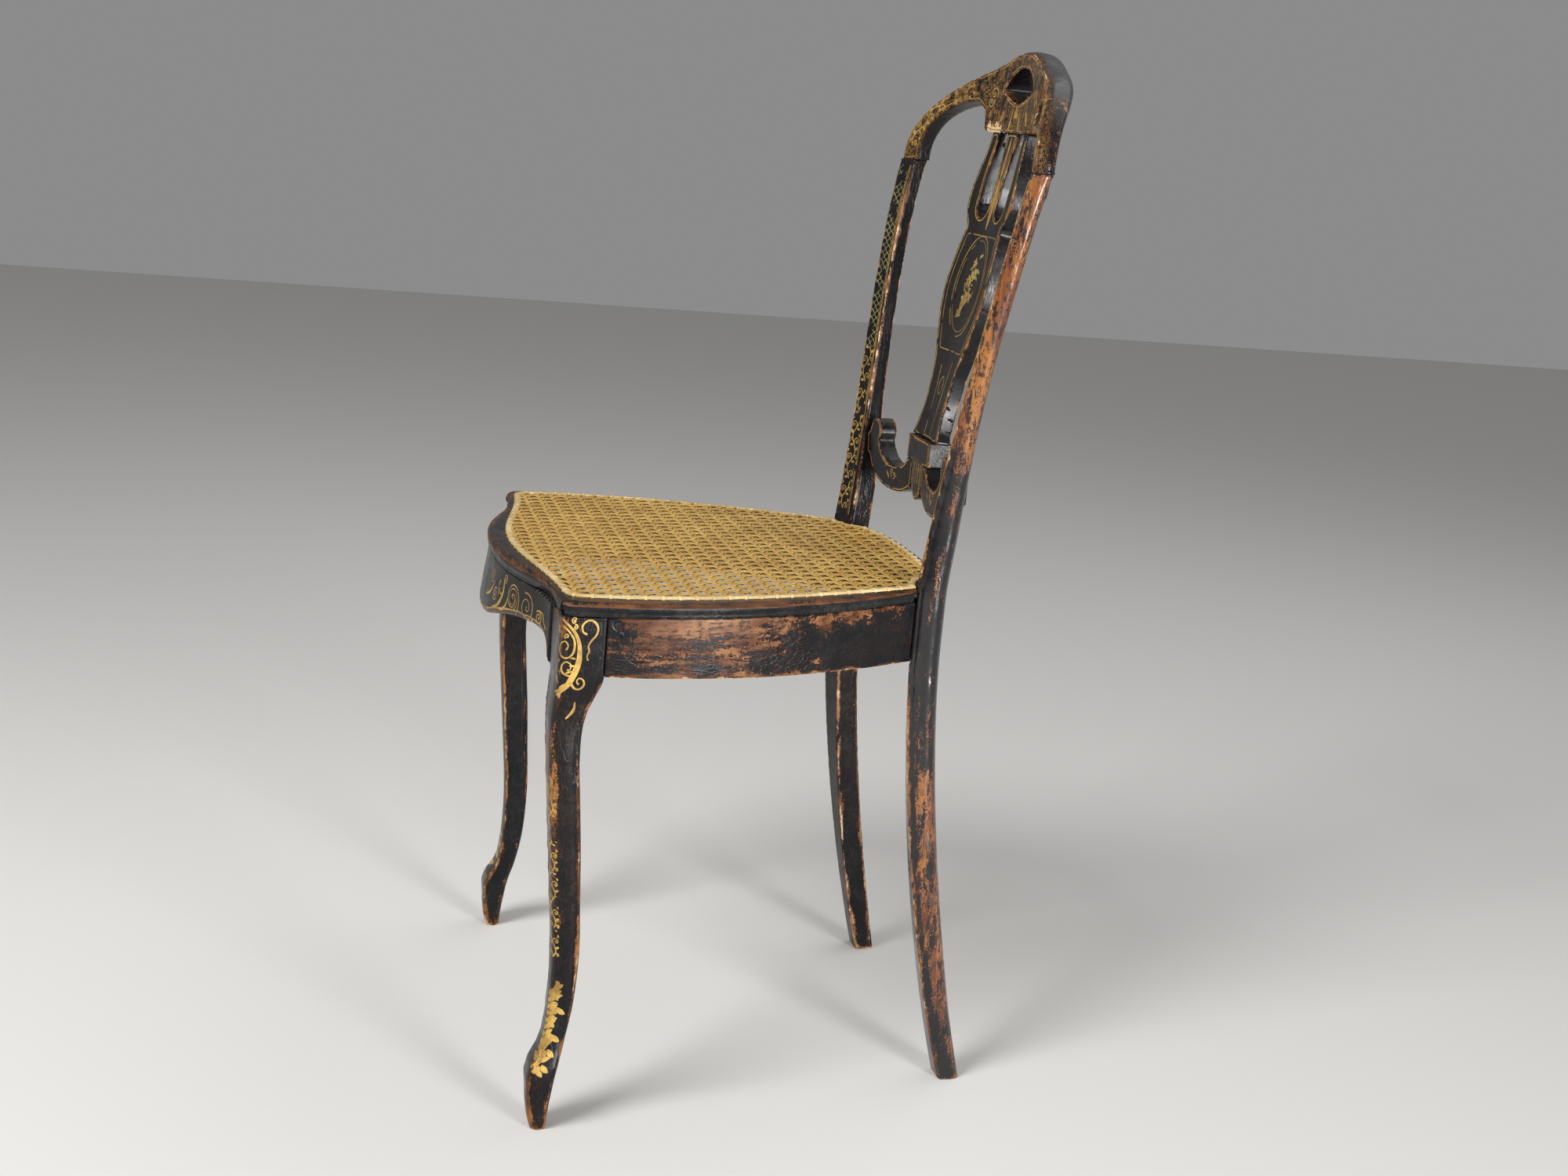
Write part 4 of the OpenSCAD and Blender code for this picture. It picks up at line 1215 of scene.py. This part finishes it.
stileGilding = {
    "foot": 0.146, "head": 0.180, "half": 9 * mm, "net": 0.48, "vine": 1.15 * mm, "netLine": 0.55 * mm,
    "lines": ((-0.83, 0.7 * mm), (-0.7, 0.5 * mm)),  # in half widths from the middle
}


def gildStile(side, sign, s=stileGilding):
    # scrolls at the seat, a fine net above them, and a double line beside the opening
    view = makeView([bpy.data.objects["rearLeg" + side]], 0)
    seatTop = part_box("cane_binder")[1].z
    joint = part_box("rear_leg_left")[1].z
    heights = np.arange(seatTop + 0.004, joint - 0.001, 0.006)
    lean = (s["head"] - s["foot"]) / (joint - seatTop)
    origins = [(sign * (s["foot"] + lean * (z - seatTop)), z) for z in heights]
    strip = makeStrip(view, origins, [(sign, 0)] * len(origins), -0.03, 0.03)
    length = strip["length"]
    net = length * s["net"]
    scrolls = onStrip(strip, vine(0.004, net, s["half"], s["vine"], 1.2))
    scrolls = [[(u - sign * 0.8 * mm, v, w) for u, v, w in line] for line in scrolls]
    gild("gildScrolls" + side, view, scrolls, goldLeaf, -0.42)
    mesh = onStrip(strip, scales(net, length, s["half"] * 0.9, s["netLine"]))
    gild("gildNet" + side, view, mesh, greenGold, -0.3)
    count = int(length / (3 * mm))
    lines = [[(length * i / count, off, w) for i in range(count + 1)] for off, w in s["lines"]]
    gild("gildLines" + side, view, onStrip(strip, lines, 1.0), goldLeaf, -0.5)


crestGilding = {
    "centre": (0.107, 0.006), "turns": (2, 112, 4),  # the fan of ways that the scrolls' strip is found along
    "bold": (8.5 * mm, 1.9 * mm, 1.5), "quiet": (9 * mm, 1.9 * mm, 1.6), "inset": 2.6 * mm, "line": 0.9 * mm,
}


def gildCrest(s):
    view = makeView([bpy.data.objects["crestRail"]], 0)
    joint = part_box("crest_rail")[0].z
    gild("gildCrestLines", view, boxLines(view, "crest_rail", s["inset"], s["line"]), oldGold, -0.35)
    bold, quiet = [], []
    for sign in (1, -1):
        ways = [(sign * math.cos(a), math.sin(a)) for a in np.radians(np.arange(*s["turns"]))]
        centre = (sign * s["centre"][0], joint + s["centre"][1])
        strip = makeStrip(view, [centre] * len(ways), ways, 0.02, 0.11)
        length = strip["length"]
        bold += onStrip(strip, vine(0.002, length * 0.5, *s["bold"]))
        quiet += onStrip(strip, vine(length * 0.5, length, *s["quiet"]))
        quiet += curl((sign * 0.047, joint + 0.062), math.pi / 2, 7 * mm, -sign, 1.8 * mm, 1.5)
        quiet += curl((sign * 0.052, joint + 0.06), -math.pi / 2, 6 * mm, sign, 1.8 * mm, 1.5)
        quiet += curl((sign * 0.03, joint + 0.09), 0.4 if sign > 0 else 2.7, 5 * mm, sign, 1.5 * mm, 1.3)
        down = -1.2 if sign > 0 else -1.94
        quiet.append(blade((sign * 0.028, joint + 0.05), down, 16 * mm, 5 * mm, 0.5 * sign))
        quiet.append(blade((sign * 0.056, joint + 0.05), -1.6, 15 * mm, 4 * mm, -0.5 * sign))
    gild("gildCrestBold", view, bold, goldLeaf, -0.42)
    gild("gildCrestQuiet", view, quiet, oldGold, -0.3)
    leaf = [blade((0, joint + 0.055), -math.pi / 2, 29 * mm, 11 * mm)]
    leaf += [blade((x, joint + 0.05), turn, 20 * mm, 3 * mm) for x, turn in ((-0.009, -1.75), (0.009, -1.39))]
    gild("gildCrestLeaf", view, leaf, goldLeaf, -0.45)


splatGilding = {
    "inset": 2.6 * mm, "line": 1.0 * mm, "panelInset": 8 * mm, "panelLine": 0.9 * mm,
    "ovals": ((35, 45, 1.0, 72), (31, 41, 0.6, 64)),  # half width, half height and line in mm, and steps
    "flowers": (  # x and height in mm from the panel's middle, and size
        (-4, -13, 9.5), (7, -4, 7.5), (-5, 4, 7), (4, 11, 6.5), (-1, 21, 5), (5, 28, 4), (-9, -24, 5.5)),
}


def gildSplat(s):
    view = makeView([bpy.data.objects["splatBoard"]], 0)
    low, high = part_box("splat")
    gild("gildSplatLines", view, boxLines(view, "splat", s["inset"], s["line"]), goldLeaf, -0.5)
    middle = (low.z + high.z) / 2 + 1.5 * mm
    panel = edgeLines(view, (low.x, middle - 0.062), (high.x, middle + 0.05), s["panelInset"], s["panelLine"])
    gild("gildPanel", view, panel, oldGold, -0.4)
    ovals = [oval(middle, half * mm, tall * mm, line * mm, count) for half, tall, line, count in s["ovals"]]
    ovals.append(oval(low.z + 0.049, 5 * mm, 8 * mm, 0.8 * mm, 28))
    for sign in (1, -1):
        ovals.append([(sign * (8 + 6 * (i / 12) ** 2) * mm, low.z + 0.004 + 0.068 * i / 12, 0.8 * mm)
                      for i in range(13)])
        ovals.append([(sign * (8.5 - 4 * math.sin(math.pi * i / 14)) * mm, high.z - 0.072 + 0.068 * i / 14,
                       0.8 * mm) for i in range(15)])
    gild("gildOvals", view, ovals, goldLeaf, -0.45)
    ribs = [blade((0, high.z - 0.085), math.pi / 2, 46 * mm, 9 * mm),
            blade((0, high.z - 0.042), math.pi / 2, 38 * mm, 6 * mm)]
    gild("gildRib", view, ribs, oldGold, -0.5)
    # a bunch of flowers in the oval
    flowers, leaves = [], []
    for x, z, size in s["flowers"]:
        size *= mm
        for k in range(7):
            turn = 2 * math.pi * k / 7 + dice.uniform(-0.2, 0.2)
            root = (x * mm + math.cos(turn) * size * 0.12, middle + z * mm + math.sin(turn) * size * 0.12)
            flowers.append(blade(root, turn, size * 0.85, size * 0.52, 0.4, 6))
    for _ in range(20):
        turn = dice.uniform(0, 2 * math.pi)
        at = (dice.uniform(-10, 10) * mm, middle + dice.uniform(-28, 26) * mm)
        length, width = dice.uniform(7, 11) * mm, dice.uniform(2, 3.4) * mm
        leaves.append(blade(at, turn, length, width, dice.uniform(-0.8, 0.8), 7))
    gild("gildFlowers", view, flowers, goldLeaf, -0.35)
    gild("gildLeaves", view, leaves, greenGold, -0.35)


crossGilding = {
    "inset": 2.2 * mm, "line": 0.9 * mm,
    "curls": (  # x and height in mm, heading, size and width in mm, hand and turns
        (58, 12, 0.1, 4.5, 1.0, 1, 1.4), (56, 11, 3.2, 4, 1.0, -1, 1.4), (74, 19, 0.9, 3.6, 0.9, 1, 1.3)),
    "leaves": (  # x and height in mm, heading, length and width in mm, and bend
        (64, 10, 0.5, 9, 2.2, 0.5), (50, 14, 2.8, 8, 2, -0.5)),
    "flutes": (-9, -3, 3, 9),
}


def mirrored(heading, sign):
    return heading if sign > 0 else round(3.14 - heading, 2)


def gildCrossRail(s):
    names = ("scrollLeft", "scrollRight", "crossBlock")
    for name in names:
        view = makeView([bpy.data.objects[name]], 0)
        lines = boxLines(view, backPieces[name][0], s["inset"], s["line"])
        gild("gildEdge" + name[0].upper() + name[1:], view, lines, goldLeaf, -0.42)
    view = makeView([bpy.data.objects[name] for name in names], 0)
    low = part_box("cross_scroll_left")[0].z
    strokes = []
    for sign in (1, -1):
        for x, z, heading, size, width, hand, turns in s["curls"]:
            at, turn = (sign * x * mm, low + z * mm), mirrored(heading, sign)
            strokes += curl(at, turn, size * mm, hand * sign, width * mm, turns)
        for x, z, heading, length, width, bend in s["leaves"]:
            at, turn = (sign * x * mm, low + z * mm), mirrored(heading, sign)
            strokes.append(blade(at, turn, length * mm, width * mm, bend * sign))
    for x in s["flutes"]:
        strokes.append([(x * mm, low + 0.006 + 0.03 * i / 8, 1.0 * mm) for i in range(9)])
    gild("gildCrossScrolls", view, strokes, goldLeaf, -0.45)


railGilding = {
    "spirals": (  # x and height in mm, size, start, hand and width
        (93, 419, 14, 4.6, 1, 1.3), (93, 419, 10, 4.6, 1, 0.9), (119, 418, 12, 1.9, -1, 1.3),
        (141, 415, 6, 2.4, -1, 1.1), (66, 421, 8, 4.3, -1, 1.2), (52, 412, 6, 1.2, 1, 1.2),
        (74, 431, 4, 3.6, 1, 0.9), (112, 429, 3, 0, 1, 0.8), (34, 424, 6, 1.6, -1, 1.0)),
    "leaves": (  # points as x, height and width in mm
        ((50, 401, 1), (60, 404, 3), (68, 411, 3.6), (72, 420, 2.4), (70, 430, 1)),
        ((62, 403, 1), (72, 404, 2.4), (80, 409, 2.6), (84, 417, 1.2)),
        ((108, 405, 1.2), (116, 406, 2.6), (124, 407, 3), (131, 411, 1.2)),
        ((140, 421, 1), (148, 420, 1.2), (152, 414, 1.2), (157, 409, 0.8)),
        ((20, 405, 1), (30, 408, 2.6), (38, 413, 2.8), (44, 422, 1))),
    "pace": 1.2, "reach": 0.165, "border": 4.2 * mm, "line": 1.3 * mm,
}


def gildFrontRail(s):
    view = makeView([bpy.data.objects["railFront"]], 0)
    low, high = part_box("apron_front")
    # lengths along the rail's curved face
    across = np.arange(0, s["reach"], 0.003)
    face = [hit(view, x, high.z - 0.014, 0.1)[0] for x in across]
    run = np.concatenate([[0], np.cumsum([(b - a).length for a, b in zip(face, face[1:])])])

    def along(x):
        return np.interp(x * mm, across, run) / mm
    marks = []
    for x, z, size, start, hand, width in s["spirals"]:
        marks += spiral((along(x), z), size, start, hand, width, 1.7)
    for line in s["leaves"]:
        marks.append(fluent([(along(x), z, w) for x, z, w in line], s["pace"]))
    strokes = []
    for sign in (1, -1):
        strokes += [[(sign * np.interp(a * mm, run, across), z * mm, w * mm) for a, z, w in line]
                    for line in marks]
    gild("gildFrontRail", view, strokes, goldLeaf, -0.5)
    # the border that follows the arches
    border = []
    for x in np.arange(-s["reach"], s["reach"] + 0.001, 0.002):
        for z in np.arange(low.z, high.z, 0.0008):
            if hit(view, x, z, 0.3):
                border.append((x, z + s["border"], s["line"]))
                break
    gild("gildRailBorder", view, [border], oldGold, -0.5)


legGilding = {
    "azimuth": 66, "out": 3.5, "up": 10,  # the block's drawing is moved by out and up
    "bend": ((-10, 15, 30), (-3, 15, 28.5)),  # and drawn in at its sides
    "strokes": (  # the acanthus scroll: points from the corner, height and width in mm
        ((-6, 426.6, 1.2), (2, 421.2, 1.7), (8.7, 415.6, 2.2), (13.2, 408.6, 2.6), (15, 400.6, 3.2),
         (14.6, 391.6, 4.2), (11.2, 382.6, 4.6), (5.7, 374, 4.2), (-1.2, 368, 3.2), (-8, 363, 1.6)),
        ((-3.2, 420.6, 1), (3.7, 415.6, 1.3), (8.7, 409.6, 1.5), (9.7, 403.6, 1.6), (7.7, 397.6, 1.5),
         (1.8, 394.6, 1.4), (-3.7, 396.6, 1.3), (-6.1, 401.6, 1.2), (-4.1, 406.6, 1.1), (0.2, 408, 1),
         (3.2, 404.6, 1), (1.4, 401.2, 1.6)),
        ((19.9, 414, 1.8), (16.7, 416, 1.3), (15.8, 420.2, 1.4), (18.1, 424, 1.5), (22.5, 425.4, 1.6),
         (26.6, 422.8, 1.6), (28.4, 418, 1.5), (27, 413.2, 1.4), (23.8, 409.2, 1.3), (21.5, 404.6, 1.2),
         (22.5, 400.6, 1.4), (20.9, 396.6, 1), (22, 393.2, 1.5)),
        ((8, 374, 2.2), (11.6, 370.2, 1.7), (16.5, 369.6, 1.5), (19.9, 373.2, 1.4), (19.1, 377.2, 1.3),
         (15.6, 378.6, 1.1), (13.8, 375.6, 1), (15.8, 373.6, 1.7)),
        ((-10.4, 388.6, 0.8), (-11, 393.6, 1.1), (-8.1, 396.2, 1.1), (-5.5, 393.6, 1), (-7.1, 390.6, 1.5)),
        ((10.6, 380, 1.4), (3.7, 380.6, 1.4), (-1.6, 383.6, 1.4), (-2.2, 388.6, 1.3), (1.8, 391.6, 1.2),
         (6.7, 389.6, 1.1), (6.7, 385.6, 1), (3.3, 385, 1.6)),
        ((12.7, 358.6, 0.8), (12.3, 353.6, 1.8), (9.8, 349.6, 2.2), (4.2, 344.6, 1)),
        ((-8.5, 379.6, 1), (-7.7, 375.6, 1.2), (-6, 373.2, 0.8))),
    "spirals": (  # place and height in mm, size, start, hand, width and turns
        (7.7, 424.5, 2.6, 0.5, 1, 1.2, 1.3), (9.4, 419.6, 2.2, 2, -1, 1.1, 1.2), (-8, 416, 3, 1, 1, 1, 1.2),
        (1.4, 412, 2.4, 4, -1, 0.9, 1.1)),
    "blades": (  # place and height in mm, heading, length and width
        (4, 374, 3.5, 12, 2.4), (1, 371, 3.9, 12, 2.2), (9, 384, 3.2, 8, 1.8), (-3, 368, 3.3, 9, 1.8),
        (-2, 370, 4.3, 9, 1.8), (11.5, 394, 2.8, 6, 1.6), (12, 388, 2.9, 7, 1.6)),
    "pace": 1.2, "vine": (150, 300, 7, 1.2, 1.1), "vineOff": -5.5,
    "toeOff": -1.5, "toeFrom": 50, "toeLeaves": 13,
}


def gildBlock(side, sign, view, corner, s):
    # an acanthus scroll on the block at the top of a front leg
    marks = [fluent(line, s["pace"]) for line in s["strokes"]]
    for a, z, size, start, hand, width, turns in s["spirals"]:
        marks += spiral((a, z), size, start, hand, width, turns)
    marks += [blade((a, z), turn, length, width, 0.5) for a, z, turn, length, width in s["blades"]]
    placed = [[(corner + sign * (np.interp(a, *s["bend"]) + s["out"]) * mm, (z + s["up"]) * mm, w * mm)
               for a, z, w in line] for line in marks]
    gild("gildBlock" + side, view, placed, goldLeaf, -0.5)


def gildFrontLeg(side, sign, s=legGilding):
    view = makeView([bpy.data.objects["frontLeg" + side]], s["azimuth"] * sign)
    low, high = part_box("front_leg_" + side.lower())
    corner = view["across"].dot(Vector((high.x if sign > 0 else low.x, low.y, 0)))
    gildBlock(side, sign, view, corner, s)
    # runs of scrolls down the leg and leaves above the toe, in strip places from the leg's front corner
    origins = [(corner, z) for z in np.arange(0.036, 0.345, 0.006)]
    strip = makeStrip(view, origins, [(1, 0)] * len(origins), -0.045, 0.045, 0.3, 0.8 * mm)

    def along(strokes, shift=0):
        return onStrip(strip, [[(a * mm - strip["bottom"], (b + shift) * mm, w * mm) for a, b, w in line]
                               for line in strokes])
    off = s["vineOff"] * sign
    gild("gildLeg" + side, view, along(vine(*s["vine"]), off), goldLeaf, -0.35)
    beads = [(307 - 5 * i, off + 2.5 * math.sin(i * 1.7), 1.6 + math.sin(i * 2.1) * 0.9) for i in range(6)]
    drops = [(300 - 4 * i, off * 1.6 + 1.5 * math.sin(i * 1.3), 1.2) for i in range(5)]
    drips = [fluent(beads, s["pace"]), fluent(drops, s["pace"])]
    gild("gildDrips" + side, view, along(drips), goldLeaf, -0.45)
    leaves = []
    off = s["toeOff"] * sign
    for k in range(s["toeLeaves"]):
        at = s["toeFrom"] + 6 * k
        leaves.append(blade((at, off - 4.5), 0.5, 11, 5.2, 0.6))
        leaves.append(blade((at + 3, off + 4.0), -0.5 + math.pi * (k % 2), 9, 4.4, -0.6))
        leaves.append(blade((at + 5, off), dice.uniform(0, 6.3), 9, 4, 0.5))
    gild("gildToe" + side, view, along(leaves), goldLeaf, -0.16)


for side, sign in (("Left", 1), ("Right", -1)):
    gildStile(side, sign)
    gildFrontLeg(side, sign)
gildCrest(crestGilding)
gildSplat(splatGilding)
gildCrossRail(crossGilding)
gildFrontRail(railGilding)
print("stage: gilding")


total = 0
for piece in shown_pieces():
    piece.data.calc_loop_triangles()
    total += len(piece.data.loop_triangles)
    print("piece", piece.name, len(piece.data.loop_triangles))
print("triangles", total)
